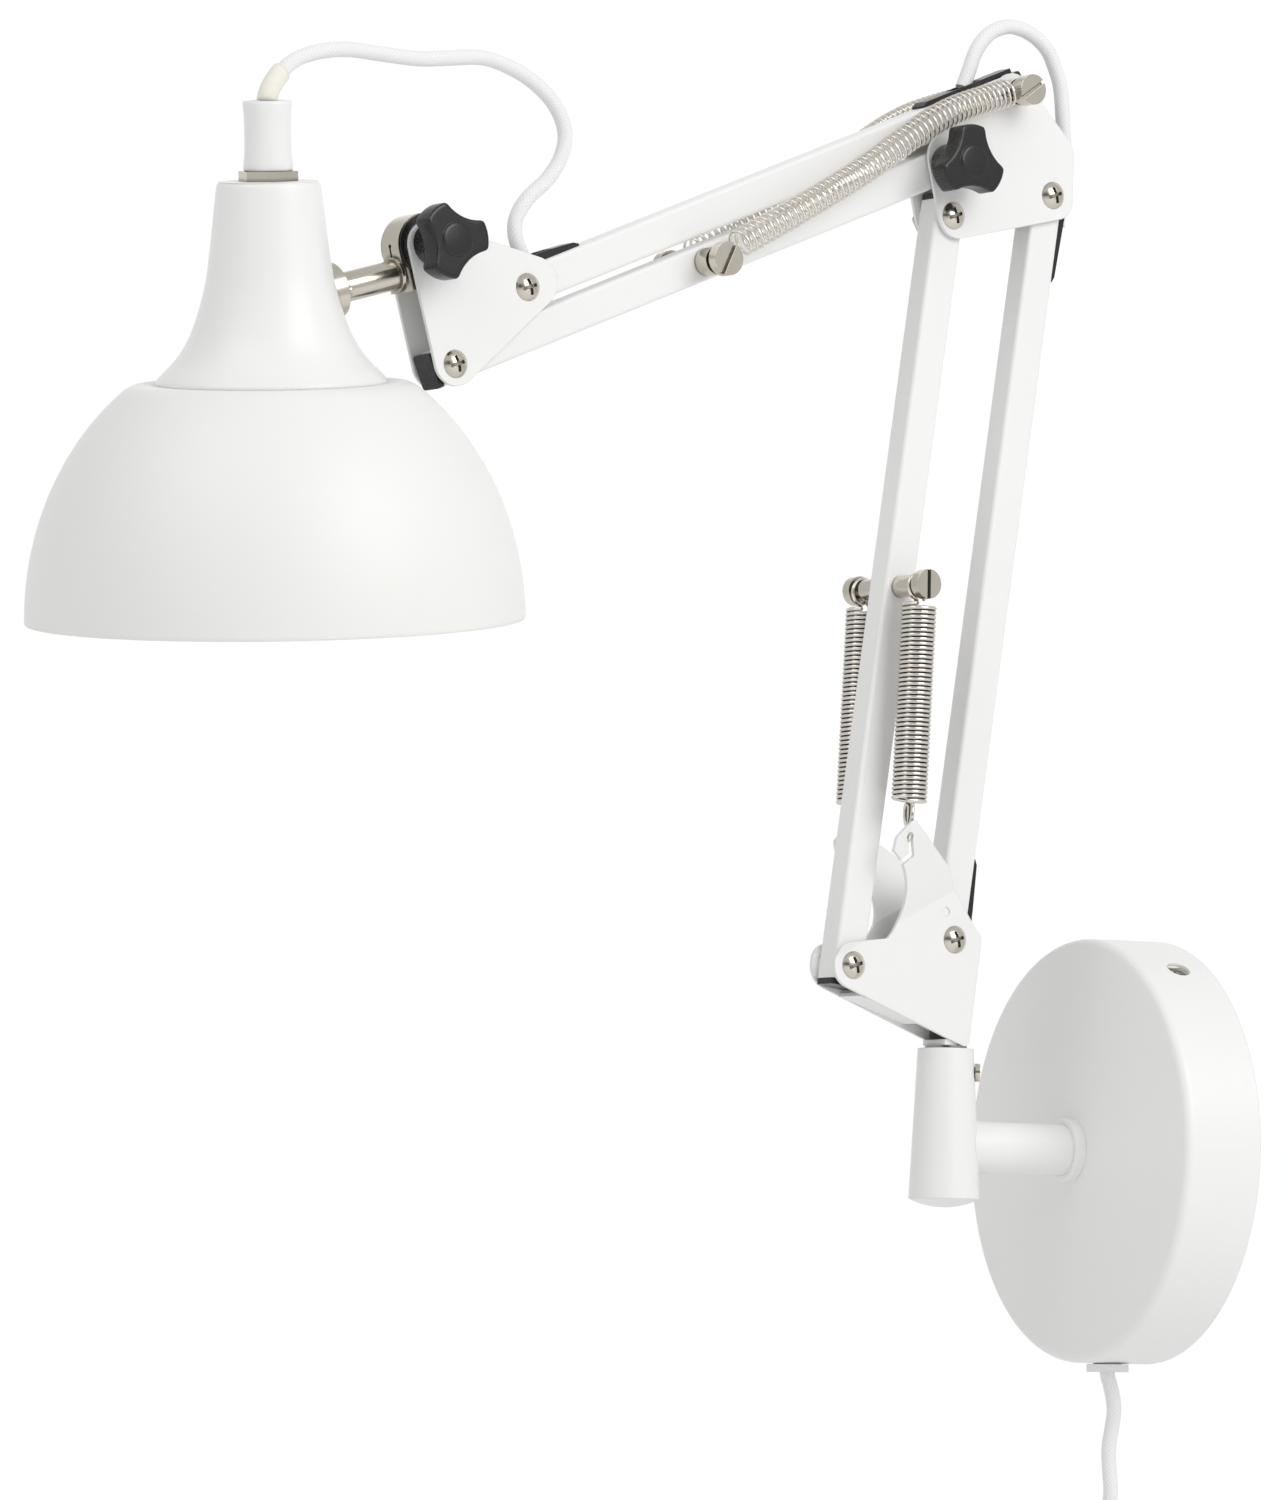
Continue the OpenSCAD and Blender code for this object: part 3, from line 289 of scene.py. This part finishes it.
def braid(name, light, dark, per_metre, strands):
    """A braided sleeve on a tube: UV x is the length in metres and UV y the turn round it."""
    g = Graph(name)
    split = g.tree.nodes.new("ShaderNodeSeparateXYZ")
    g.put(split.inputs[0], g.coordinates("UV"))
    run = g.math("MULTIPLY", split.outputs["X"], per_metre)
    turn = g.math("MULTIPLY", split.outputs["Y"], strands)
    left = g.math("MULTIPLY", g.math("ADD", run, turn), math.pi)
    right = g.math("MULTIPLY", g.math("SUBTRACT", run, turn), math.pi)
    sine_left = g.math("SINE", left)
    sine_right = g.math("SINE", right)
    crossing = g.math("MULTIPLY", g.math("COSINE", left), g.math("COSINE", right))
    over = g.math("GREATER_THAN", crossing, 0.0)
    first = g.math("MULTIPLY", g.math("ABSOLUTE", sine_left), over)
    second = g.math("MULTIPLY", g.math("ABSOLUTE", sine_right), g.math("SUBTRACT", 1.0, over))
    height = g.math("ADD", first, second)
    fibre = g.noise(5200, 2)
    # Painted shade: the colour is darker where the weave lies low, in the grooves between the strands.
    shade = g.math("MULTIPLY", height, g.span(fibre, 0.8, 1.1))
    g.set(
        Base_Color=g.blend(g.span(shade, 0.0, 1.0, 0.15, 0.85), dark, light),
        Roughness=0.75,
        Sheen_Weight=0.25,
        Sheen_Roughness=0.5,
    )
    g.bump(g.math("ADD", height, g.math("MULTIPLY", fibre, 0.25)), 0.00009, 0.45)
    return g.material


def plain_floor():
    g = Graph("floor")
    cloud = g.noise(3, 2)
    g.set(Base_Color=g.blend(cloud, (0.9, 0.9, 0.9), (0.93, 0.93, 0.93)), Roughness=0.9)
    return g.material


MATERIALS = {
    "white_metal": powder_coat(),
    "shade_enamel": shade_enamel(),
    "nickel": nickel(),
    "spring_steel": spring_wire(),
    "blackened_steel": dark_steel(),
    "black_plastic": black_plastic(),
    "white_plastic": white_plastic(),
    # For each braid, here and for the sleeve below, the darker colour is painted shade for the weave's grooves.
    "textile_cord": braid("textile_braid", (0.9, 0.9, 0.905), (0.8, 0.8, 0.81), 620, 10),
}
SLEEVE = braid("beige_sleeve", (0.9, 0.875, 0.79), (0.86, 0.83, 0.73), 900, 14)


def paint_cad_nodes():
    for part in frame["record"]["subparts"]:
        node = NODES[part["node"]]
        material = MATERIALS[part["material_slot"]]
        node.data.materials.clear()
        node.data.materials.append(material)


# ---------- mesh helpers ----------


def new_object(name, mesh, slot):
    thing = bpy.data.objects.new(name, mesh)
    bpy.context.scene.collection.objects.link(thing)
    thing.data.materials.append(MATERIALS[slot])
    return thing


def route(points, steps):
    """A smooth curve through the points, as a list of vectors."""
    points = [Vector(p) for p in points]
    line = []
    last = len(points) - 1
    for i in range(last):
        a, b = points[max(i - 1, 0)], points[i]
        c, d = points[i + 1], points[min(i + 2, last)]
        for s in range(steps):
            t = s / steps
            line.append(
                0.5
                * (
                    2 * b
                    + (c - a) * t
                    + (2 * a - 5 * b + 4 * c - d) * t * t
                    + (3 * b - a - 3 * c + d) * t * t * t
                )
            )
    line.append(points[last])
    return line


def frames_along(line):
    """(point, side, other side, distance so far) for each point, turning as little as possible."""
    out = []
    side = None
    run = 0.0
    for i, p in enumerate(line):
        ahead = (line[min(i + 1, len(line) - 1)] - line[max(i - 1, 0)]).normalized()
        if side is None:
            seed = Vector((0, 0, 1)) if abs(ahead.z) < 0.8 else Vector((0.6, 0.8, 0))
            side = ahead.cross(seed)
        side = (side - ahead * side.dot(ahead)).normalized()
        if i:
            run += (p - line[i - 1]).length
        out.append((p, side, ahead.cross(side), run))
    return out


def skin(rings, runs=None, caps=True, closed=False):
    """A mesh over rings of equal count, with UV x the run along and UV y the turn round."""
    count = len(rings[0])
    vertices = [tuple(v) for ring in rings for v in ring]
    faces, coordinates = [], []
    pairs = len(rings) if closed else len(rings) - 1
    for i in range(pairs):
        j = (i + 1) % len(rings)
        for k in range(count):
            m = (k + 1) % count
            faces.append((i * count + k, i * count + m, j * count + m, j * count + k))
            a = runs[i] if runs else i
            b = runs[j] if runs else j
            lo, hi = k / count, (k + 1) / count
            coordinates += [(a, lo), (a, hi), (b, hi), (b, lo)]
    if caps and not closed:
        faces.append(tuple(reversed(range(count))))
        faces.append(tuple((len(rings) - 1) * count + k for k in range(count)))
        coordinates += [(0, 0)] * (2 * count)
    mesh = bpy.data.meshes.new("mesh")
    mesh.from_pydata(vertices, [], faces)
    layer = mesh.uv_layers.new(name="UVMap")
    layer.data.foreach_set("uv", [x for pair in coordinates for x in pair])
    # the sides have four corners each; the flat ends have more
    for face in mesh.polygons:
        face.use_smooth = len(face.vertices) == 4
    mesh.validate()
    mesh.update()
    if caps and not closed:
        mark_end_edges(mesh, count, len(rings))
    return mesh


def mark_end_edges(mesh, count, rings):
    """Makes the edges round the flat ends sharp, so that the ends don't bend the light on the sides."""
    for edge in mesh.edges:
        a, b = sorted(edge.vertices)
        same_ring = a // count == b // count
        if same_ring and a // count in (0, rings - 1):
            edge.use_edge_sharp = True


def tube_mesh(line, radius, sides, start=0, stop=None):
    """A tube on a line, or on a stretch of it that still matches its neighbours ring for ring."""
    rings, runs = [], []
    for p, a, b, run in frames_along(line)[start:stop]:
        rings.append([p + radius * (math.cos(t) * a + math.sin(t) * b) for t in turn_steps(sides)])
        runs.append(run)
    return skin(rings, runs)


def turn_steps(count):
    return [2 * math.pi * k / count for k in range(count)]


def lathe_mesh(profile, place, sides, caps=False):
    """Turns [radius, height] points, in millimetres, about the z axis of place."""
    rings = []
    for r, h in profile:
        ring = [Vector((r * math.cos(t), r * math.sin(t), h)) for t in turn_steps(sides)]
        rings.append([place @ (p * MM) for p in ring])
    return skin(rings, None, caps)


def join(name, meshes, slot):
    """One object from several meshes."""
    vertices, faces, smooth, uvs, sharp = [], [], [], [], set()
    for mesh in meshes:
        base = len(vertices)
        vertices += [tuple(v.co) for v in mesh.vertices]
        for edge in mesh.edges:
            if edge.use_edge_sharp:
                sharp.add(tuple(sorted(base + v for v in edge.vertices)))
        layer = mesh.uv_layers[0].data
        for face in mesh.polygons:
            faces.append([base + v for v in face.vertices])
            smooth.append(face.use_smooth)
            uvs += [tuple(layer[i].uv) for i in face.loop_indices]
        bpy.data.meshes.remove(mesh)
    mesh = bpy.data.meshes.new(name)
    mesh.from_pydata(vertices, [], faces)
    layer = mesh.uv_layers.new(name="UVMap")
    layer.data.foreach_set("uv", [x for pair in uvs for x in pair])
    mesh.polygons.foreach_set("use_smooth", smooth)
    mesh.update()
    for edge in mesh.edges:
        edge.use_edge_sharp = tuple(sorted(edge.vertices)) in sharp
    return new_object(name, mesh, slot)


def placed(origin, x_axis, z_axis):
    """A matrix with that origin and axes; y completes them."""
    z = z_axis.normalized()
    x = (x_axis - z * x_axis.dot(z)).normalized()
    turn = Matrix((x, z.cross(x), z)).transposed().to_4x4()
    return Matrix.Translation(origin) @ turn


# ---------- mains cord ----------

CORD_D = 5.3
COIL_R, COIL_X, COIL_Y, COIL_Z = 31.8, -2.0, -16.0, -195.0
PITCH = 5.4
TAIL_X = COIL_X - COIL_R - 5.4
CORD_ROUTE = [
    (0, -16, -66), (0, -16, -74), (0, -16, -79), (0.7, -14.8, -84), (0.6, -13.4, -91),
    (-0.9, -13.4, -98), (-1.8, -14, -105), (-1.8, -13.6, -113), (-1.8, -13, -121),
    (-4.2, -13.2, -133), (-9.6, -13, -146), (-16.6, -12.2, -159.5), (-23, -11, -174),
]
TAIL_ROUTE = [(TAIL_X, -21.4, -206), (TAIL_X, -21.4, -214), (TAIL_X, -21, -226), (TAIL_X, -20, -241)]
# The turns' places in the coil's section, as (column, layer), in the order the cord takes them
CELLS = [(-1, 1), (0, 1), (1, 1), (1, 0), (0, 0), (-1, 0), (-1, -1), (0, -1), (1, -1)]
TURNS = len(CELLS) - 1
# Degrees: where the cord joins and leaves the coil, how long a change of place takes, when the
# first one starts, and the step from point to point
ENTRY, EXIT, SHIFT, FIRST_MOVE, COIL_STEP = 162.0, 186.0, 32.0, 330, 12


def coil_points():
    """The turns of the coil. Each turn moves to the next place a little earlier than the last."""
    points = []
    total = TURNS * 360 + EXIT - ENTRY
    steps = int(total / COIL_STEP)
    for i in range(steps + 1):
        gone = total * i / steps
        place = 0.0
        for k in range(TURNS):
            move = FIRST_MOVE + 360 * k - SHIFT * k
            share = min(max((gone - move) / SHIFT, 0), 1)
            place += share * share * (3 - 2 * share)
        low = min(int(place), TURNS - 1)
        t = place - low
        column = CELLS[low][0] * (1 - t) + CELLS[low + 1][0] * t
        layer = CELLS[low][1] * (1 - t) + CELLS[low + 1][1] * t
        angle = math.radians(ENTRY + gone)
        r = COIL_R + PITCH * column
        points.append((COIL_X + r * math.cos(angle), COIL_Y + PITCH * layer, COIL_Z + r * math.sin(angle)))
    return points


def make_mains_cord():
    points = CORD_ROUTE + coil_points() + TAIL_ROUTE
    line = [p * MM for p in route(points, 3)]
    thing = new_object("mains_lead", tube_mesh(line, CORD_D / 2 * MM, 14), "textile_cord")
    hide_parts("mains_cord", "mains_coil", "plug_lead")
    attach(thing, "wall_mount")


# ---------- leads on the arm ----------

ELBOW_LOOP = [
    (-44.4, 0, 329), (-45.5, 0, 335), (-46.7, 0, 341), (-47.3, 0, 347), (-47, 0, 356), (-46.2, 0, 367),
    (-45, 0, 378), (-42.6, 0, 385), (-38.8, 0, 391.6), (-32, 0, 396.4), (-23.6, 0, 398.4),
    (-16.4, 0, 396.8), (-11, 0, 393), (-7.2, 0, 387.6), (-5, 0, 382.2), (-3.2, 0, 377.6), (-1.8, 0, 374.6),
]
HEAD_ROUTE = [
    (182.2, 0, 294.6), (184.5, 0, 300.6), (187.2, 0, 306.6), (187, 0, 313), (182.6, 0.3, 320.2),
    (174.6, 0.6, 327.6), (169.4, 1, 335.8), (168.4, 1.5, 344.6), (173.4, 2.2, 353.4), (182.6, 3, 360.2),
    (193.8, 3.8, 364.6), (205, 4.5, 366.5), (218, 5.2, 365.2), (232, 6, 363.6),
    (248.6, 6.8, 363.8), (261.6, 7.4, 364), (273.2, 7.9, 362.2), (283.2, 8.3, 358.4),
    (290, 8.6, 352.4), (293.8, 8.6, 346), (293.7, 8, 340), (293, 7.2, 334),
]
SHOULDER_ROUTE = [
    (-7.6, 0, 81), (-7.5, 0, 73), (-7.2, 0, 66), (-5.6, 0, 58.5), (-2.8, 0, 51.5),
    (-0.3, 0, 45.5), (0, 0, 40), (0, 0, 34),
]


# Where the elbow's and the head's leads are divided, as the number of a point on their lines
ELBOW_CUT = 50
HEAD_CUTS = (45, 65)
# Metres: the height at which the sleeve starts, and its length
SLEEVE_FOOT, SLEEVE_LENGTH = 0.3428, 0.0115


def lead(name, line, start, stop, node=None):
    """A stretch of lead, built as a tube along part of its line."""
    thing = new_object(name, tube_mesh(line, CORD_D / 2 * MM, 16, start, stop + 1), "textile_cord")
    if node:
        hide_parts(node)
    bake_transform(thing)


def make_sleeve(line):
    """The loose fabric sleeve round the lead where it enters the shade's cap."""
    near = list(reversed(line))
    start = next(i for i, p in enumerate(near) if p.z > SLEEVE_FOOT)
    rings, runs = [], []
    for p, a, b, run in frames_along(near[start:]):
        share = min(run / SLEEVE_LENGTH, 1)
        # its half width and half thickness: it flattens toward its loose end
        wide, flat = 3.75 + 0.8 * share, 3.6 - 0.2 * share
        rings.append([p + MM * (wide * math.cos(t) * a + flat * math.sin(t) * b) for t in turn_steps(28)])
        runs.append(run)
        if run > SLEEVE_LENGTH:
            break
    inner = [[p.lerp(sum(ring, Vector()) / len(ring), 0.22) for p in ring] for ring in reversed(rings)]
    sleeve = new_object("cap_sleeve", skin(rings + inner, runs + runs[::-1], False, True), "textile_cord")
    sleeve.data.materials[0] = SLEEVE
    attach(sleeve, "shade")


def make_leads():
    line = route([arm_point(p) for p in ELBOW_LOOP], 5)
    end, cut = len(line) - 1, ELBOW_CUT
    lead("elbow_lead_low", line, 0, cut, "elbow_lead")
    lead("elbow_lead_high", line, cut, end)
    line = route([arm_point(p) for p in HEAD_ROUTE], 5)
    end, first, second = len(line) - 1, *HEAD_CUTS
    lead("head_lead_arm", line, 0, first, "head_lead")
    lead("head_lead_middle", line, first, second)
    lead("head_lead_shade", line, second, end)
    make_sleeve(line)
    line = route([arm_point(p) for p in SHOULDER_ROUTE], 5)
    lead("shoulder_lead_sleeve", line, 0, len(line) - 1, "shoulder_lead")


# ---------- springs ----------


def helix(line, radius, turns, per_turn=18, ease=None):
    """A coil wound round a line; ease maps the share of the turns to the share of the length."""
    places = frames_along(line)
    runs = [p[3] for p in places]
    total = runs[-1]
    out = []
    count = int(turns * per_turn)
    for i in range(count + 1):
        share = i / count
        run = total * (ease(share) if ease else share)
        k = min(max(int(np.searchsorted(runs, run)), 1), len(runs) - 1)
        t = (run - runs[k - 1]) / max(runs[k] - runs[k - 1], 1e-9)
        centre = places[k - 1][0].lerp(places[k][0], t)
        a = places[k - 1][1].lerp(places[k][1], t)
        b = places[k - 1][2].lerp(places[k][2], t)
        angle = 2 * math.pi * turns * share
        out.append(centre + radius * (math.cos(angle) * a + math.sin(angle) * b))
    return out


def ring_angles(start, stop, step=24):
    """Angles in radians along a ring, from one angle in degrees to another."""
    count = int(abs(stop - start) / step) + 1
    return [math.radians(start + (stop - start) * i / count) for i in range(count + 1)]


# The lower springs' middle line, as (forward, up) at its top and its foot, and its place across
LOWER_AXIS = ((26.2, 188.4), (29.4, 119.1))
LOWER_W = 16.8
LOWER_TURNS, UPPER_TURNS = 44, 52


def make_lower_spring(side, node):
    wire, outer = 0.75, 6.3
    top = arm(LOWER_AXIS[0][0], side * LOWER_W, LOWER_AXIS[0][1])
    low = arm(LOWER_AXIS[1][0], side * LOWER_W, LOWER_AXIS[1][1])
    body_line = helix([top, top.lerp(low, 0.5), low], (outer - wire) * MM, LOWER_TURNS)
    w = side * LOWER_W
    # a full ring round the pin above, then a long link and a hook through the plate below
    ring = [(26.1 + 4.6 * math.cos(a), w, 194.7 + 4.6 * math.sin(a)) for a in ring_angles(-70, 250)]
    loop = [body_line[0]] + [arm(*p) for p in [(27.2, w, 189.2)] + ring]
    hook = [body_line[-1]] + [
        arm(*p)
        for p in (
            (29.4, w + side * 1.9, 118.2), (29.5, w + side * 2.1, 114.6), (29.6, w + side * 1.1, 111.2),
            (29.6, w - side * 0.9, 111.0), (29.5, w - side * 2.1, 113.6), (29.4, w - side * 2.0, 117.4),
            (29.3, w - side * 0.6, 118.3), (29.3, w, 115.0),
            (29.5, w - side * 0.4, 110.0), (29.8, w - side * 1.2, 106.4), (29.9, w - side * 0.2, 105.5),
            (30.2, w + side * 1.4, 106.0), (30.3, w + side * 1.8, 108.2),
        )
    ]
    meshes = [tube_mesh(line, wire * MM, 8) for line in (body_line, route(loop, 4), route(hook, 4))]
    thing = join(node + "_coil", meshes, "spring_steel")
    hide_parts(node)
    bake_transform(thing)


# The upper spring's middle line, as (forward, across, up)
UPPER_LINE = [
    (-12.4, 13.2, 372.6), (-0.6, 13.4, 368.8), (10.6, 13.5, 364.7), (20.9, 13.4, 359.5), (30.6, 13.5, 353.2),
    (42, 13.6, 345.3), (54, 13.6, 337.4), (78, 13.7, 323.4), (103.4, 13.8, 309.4),
]


def make_upper_spring(side, node):
    wire, outer = 0.52, 5.2
    line = route([arm(u, side * w, z) for u, w, z in UPPER_LINE], 6)
    # the turns lie a little closer together near the elbow
    coil = helix(line, (outer - wire) * MM, UPPER_TURNS, 16, lambda s: s * (0.84 + 0.16 * s))
    w = side * 13.1
    ring = [(-18.4 + 4.3 * math.cos(a), w, 373.6 + 4.3 * math.sin(a)) for a in ring_angles(35, 330)]
    loop = [coil[0]] + [arm(*p) for p in [(-13.6, w, 375.0)] + ring]
    far = side * 13.9
    ring = [(111.03 + 4.2 * math.cos(a), far, 303.44 + 4.2 * math.sin(a)) for a in ring_angles(160, 455)]
    hook = [coil[-1]] + [arm(*p) for p in [(106.4, far, 306.4)] + ring]
    meshes = [tube_mesh(p, wire * MM, 8) for p in (coil, route(loop, 4), route(hook, 4))]
    thing = join(node + "_coil", meshes, "spring_steel")
    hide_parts(node)
    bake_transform(thing)


# ---------- shade ----------


# The shade's frame: how far its hub is from the tube's pivot and above its rim, in millimetres,
# and how it leans and turns on the tube, in degrees
HUB_REACH, HUB_HEIGHT = 52.3, 106.7
SHADE_LEAN, SHADE_TURN = 9.6, 7
# Millimetres: the half width and height of the ellipse that the dome follows
DOME_R, DOME_H = 85, 97.5


def shade_place():
    """The shade's own frame: z is its axis and 0 the rim, x points away from the arm."""
    tube = Vector(JOINTS["shade_swivel"]["axis"])
    start = Vector(JOINTS["shade_swivel"]["pos_m"])
    centre = start + tube * HUB_REACH * MM
    across = W.copy()
    up = tube.cross(across) * -1
    if up.z < 0:
        up = -up
    lean, turn = math.radians(SHADE_LEAN), math.radians(SHADE_TURN)
    up_turned = up * math.cos(turn) + across * math.sin(turn)
    axis = up_turned * math.cos(lean) - tube * math.sin(lean)
    rim = centre - axis * HUB_HEIGHT * MM
    return placed(rim, tube, axis)


def arc(rx, ry, start, stop, count):
    """Points on an ellipse about the origin, from one angle in degrees to another."""
    out = []
    for i in range(count + 1):
        a = math.radians(start + (stop - start) * i / count)
        out.append((rx * math.cos(a), ry * math.sin(a)))
    return out


def make_shade(place):
    thick = 0.8
    outer = arc(DOME_R, DOME_H, 2.5, 54, 40) + [(47.9, 80.0), (46.6, 80.55), (44.8, 80.6), (38.6, 80.6)]
    inner = [(38.6, 79.8), (44.6, 79.8), (46.2, 79.5)]
    inner += arc(DOME_R - thick, DOME_H - thick, 54, 2.5, 40)
    lip = [(84.15, 1.0), (84.1, 0.4), (84.3, 0.05), (84.75, 0.05), (85.05, 0.5), (85.05, 1.6)]
    shell = lathe_mesh(outer + inner + lip + [outer[0]], place, 160)
    dome = new_object("shade_dome_shell", shell, "shade_enamel")
    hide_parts("shade_dome")
    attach(dome, "shade")

    line = [
        (39.3, 80.6), (39.25, 81.3), (38.9, 82.0), (38.0, 83.1), (36, 85.2), (34.2, 87.0), (32.4, 89.0),
        (30.6, 91.4), (28.9, 94.2), (27.2, 97.6), (25.6, 101.8), (24.2, 106.0), (22.8, 111), (21.5, 117),
        (20.4, 124.8), (19.4, 133), (18.4, 142), (17.8, 146.4), (17.5, 147.8), (16.9, 148.6), (15.9, 149),
        (5.1, 149),
    ]
    outer = [tuple(p)[:2] for p in route([(r, h, 0) for r, h in line], 4)]
    inner = [
        (5.1, 147.8), (15.6, 147.8), (16.4, 146.6), (18.1, 133), (19.1, 124.8), (21.6, 111),
        (24.2, 102.2), (27.4, 94.6), (31.2, 89.2), (35, 85.6), (37.6, 82.4), (38.0, 80.6),
    ]
    shell = lathe_mesh(outer + inner + [outer[0]], place, 128)
    bell = new_object("shade_bell_shell", shell, "white_metal")
    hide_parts("shade_bell")
    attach(bell, "shade")

    cap = [
        (5.1, 152.4), (8.0, 152.4), (8.35, 152.8), (8.4, 153.6), (8.3, 155.6), (8.05, 158), (7.95, 163),
        (7.95, 168), (8.1, 172), (8.4, 175), (8.35, 175.7), (8.0, 176.1), (7.4, 176.2), (5.6, 176.1),
        (4.2, 175.6), (3.6, 174.6), (3.4, 170), (3.4, 160), (5.1, 160), (5.1, 152.4),
    ]
    cover = new_object("cable_cap_shell", lathe_mesh(cap, place, 64), "white_plastic")
    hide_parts("cable_cap")
    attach(cover, "shade")


# ---------- knobs ----------


# Millimetres: the knob's radius, and the centre distance and radius of its hollows
KNOB_R, HOLLOW_AT, HOLLOW_R = 13.3, 25.4, 16.8


def knob_radius(angle, inset):
    """Three lobes cut by three wide hollows; the corners between them are slightly rounded."""
    total = 0.0
    for soft in range(-2, 3):
        a = angle + math.radians(soft * 1.6)
        r = KNOB_R - inset
        for k in range(3):
            off = (a - math.radians(60 + 120 * k) + math.pi) % (2 * math.pi) - math.pi
            flute = HOLLOW_R + inset
            reach = HOLLOW_AT * math.sin(off)
            if abs(reach) < flute and math.cos(off) > 0:
                r = min(r, HOLLOW_AT * math.cos(off) - math.sqrt(flute * flute - reach * reach))
        total += r
    return total / 5


def make_knob(name, joint, body, turn, node):
    centre = Vector(JOINTS[joint]["pos_m"]) - W * 17 * MM
    place = placed(centre, U, W)
    sides = 180
    lobes = []
    for w, inset in (
        (17.0, 3.2), (17.0, 0.5), (17.1, 0.2), (17.4, 0.0), (18.2, 0.0), (24.2, 0.0), (24.55, 0.08),
        (24.85, 0.28), (25.0, 0.6), (25.02, 1.4), (25.02, 3.4),
    ):
        ring = []
        for t in turn_steps(sides):
            r = knob_radius(t + math.radians(turn), inset)
            ring.append(place @ (Vector((r * math.cos(t), r * math.sin(t), w)) * MM))
        lobes.append(ring)
    hub = [(7.5, 9.4), (7.6, 9.8), (7.6, 14.5), (8.2, 15.6), (8.4, 17.2)]
    cap = [(6.6, 24.9), (6.2, 24.75), (5.95, 24.9), (5.85, 25.35), (5.5, 25.6), (4.6, 25.7), (0.05, 25.75)]
    meshes = [skin(lobes, None, True), lathe_mesh(hub, place, 48, True), lathe_mesh(cap, place, 48, True)]
    thing = join(name, meshes, "black_plastic")
    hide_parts(node)
    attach(thing, body)


# ---------- floor and light ----------


def make_stage():
    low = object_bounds()[0].z - 0.03
    mesh = bpy.data.meshes.new("floor")
    mesh.from_pydata([(-9, -9, low), (9, -9, low), (9, 9, low), (-9, 9, low)], [], [(0, 1, 2, 3)])
    floor = bpy.data.objects.new("floor", mesh)
    floor.data.materials.append(plain_floor())
    bpy.context.scene.collection.objects.link(floor)

    world = bpy.data.worlds.new("world")
    bpy.context.scene.world = world
    world.use_nodes = True
    nodes, links = world.node_tree.nodes, world.node_tree.links
    # Soft grey light all round, opening to white behind the lamp and dark where the camera stands
    toward = nodes.new("ShaderNodeVectorMath")
    toward.operation = "DOT_PRODUCT"
    toward.inputs[1].default_value = -VIEW_BACK
    links.new(nodes.new("ShaderNodeTexCoord").outputs["Generated"], toward.inputs[0])
    strengths = []
    for start, stop, low, high in ((-0.97, -0.86, 0.1, 0.64), (0.7, 0.96, 0.0, 0.38)):
        step = nodes.new("ShaderNodeMapRange")
        step.interpolation_type = "SMOOTHSTEP"
        links.new(toward.outputs["Value"], step.inputs["Value"])
        for name, value in (("From Min", start), ("From Max", stop), ("To Min", low), ("To Max", high)):
            step.inputs[name].default_value = value
        strengths.append(step.outputs["Result"])
    total = nodes.new("ShaderNodeMath")
    for socket, strength in zip(total.inputs, strengths):
        links.new(strength, socket)
    links.new(total.outputs[0], nodes["Background"].inputs["Strength"])
    nodes["Background"].inputs["Color"].default_value = (1, 1, 1, 1)
    bpy.context.scene.view_settings.view_transform = "Standard"


def area_light(name, place, aim, size, power):
    data = bpy.data.lights.new(name, "AREA")
    data.shape = "SQUARE"
    data.size = size
    data.energy = power
    lamp = bpy.data.objects.new(name, data)
    lamp.location = place
    lamp.rotation_euler = (Vector(place) - Vector(aim)).to_track_quat("Z", "Y").to_euler()
    bpy.context.scene.collection.objects.link(lamp)


make_camera()
make_mains_cord()
paint_cad_nodes()
make_leads()
make_lower_spring(1, "lower_spring_front")
make_lower_spring(-1, "lower_spring_rear")
make_upper_spring(1, "upper_spring_front")
make_upper_spring(-1, "upper_spring_rear")
SHADE = shade_place()
make_shade(SHADE)
make_knob("elbow_knob_moulding", "elbow_knob_turn", "elbow_knob_body", 88, "elbow_knob")
make_knob("head_knob_moulding", "head_knob_turn", "head_knob_body", 168, "head_knob")
make_stage()
MIDDLE = (0, -0.2, 0.15)
area_light("key", (2.1, 0.4, 1.4), MIDDLE, 1.5, 25)
area_light("fill", (0.4, -2.0, 1.9), MIDDLE, 1.4, 9)
area_light("low", (1.2, -2.2, -1.1), MIDDLE, 1.6, 11)
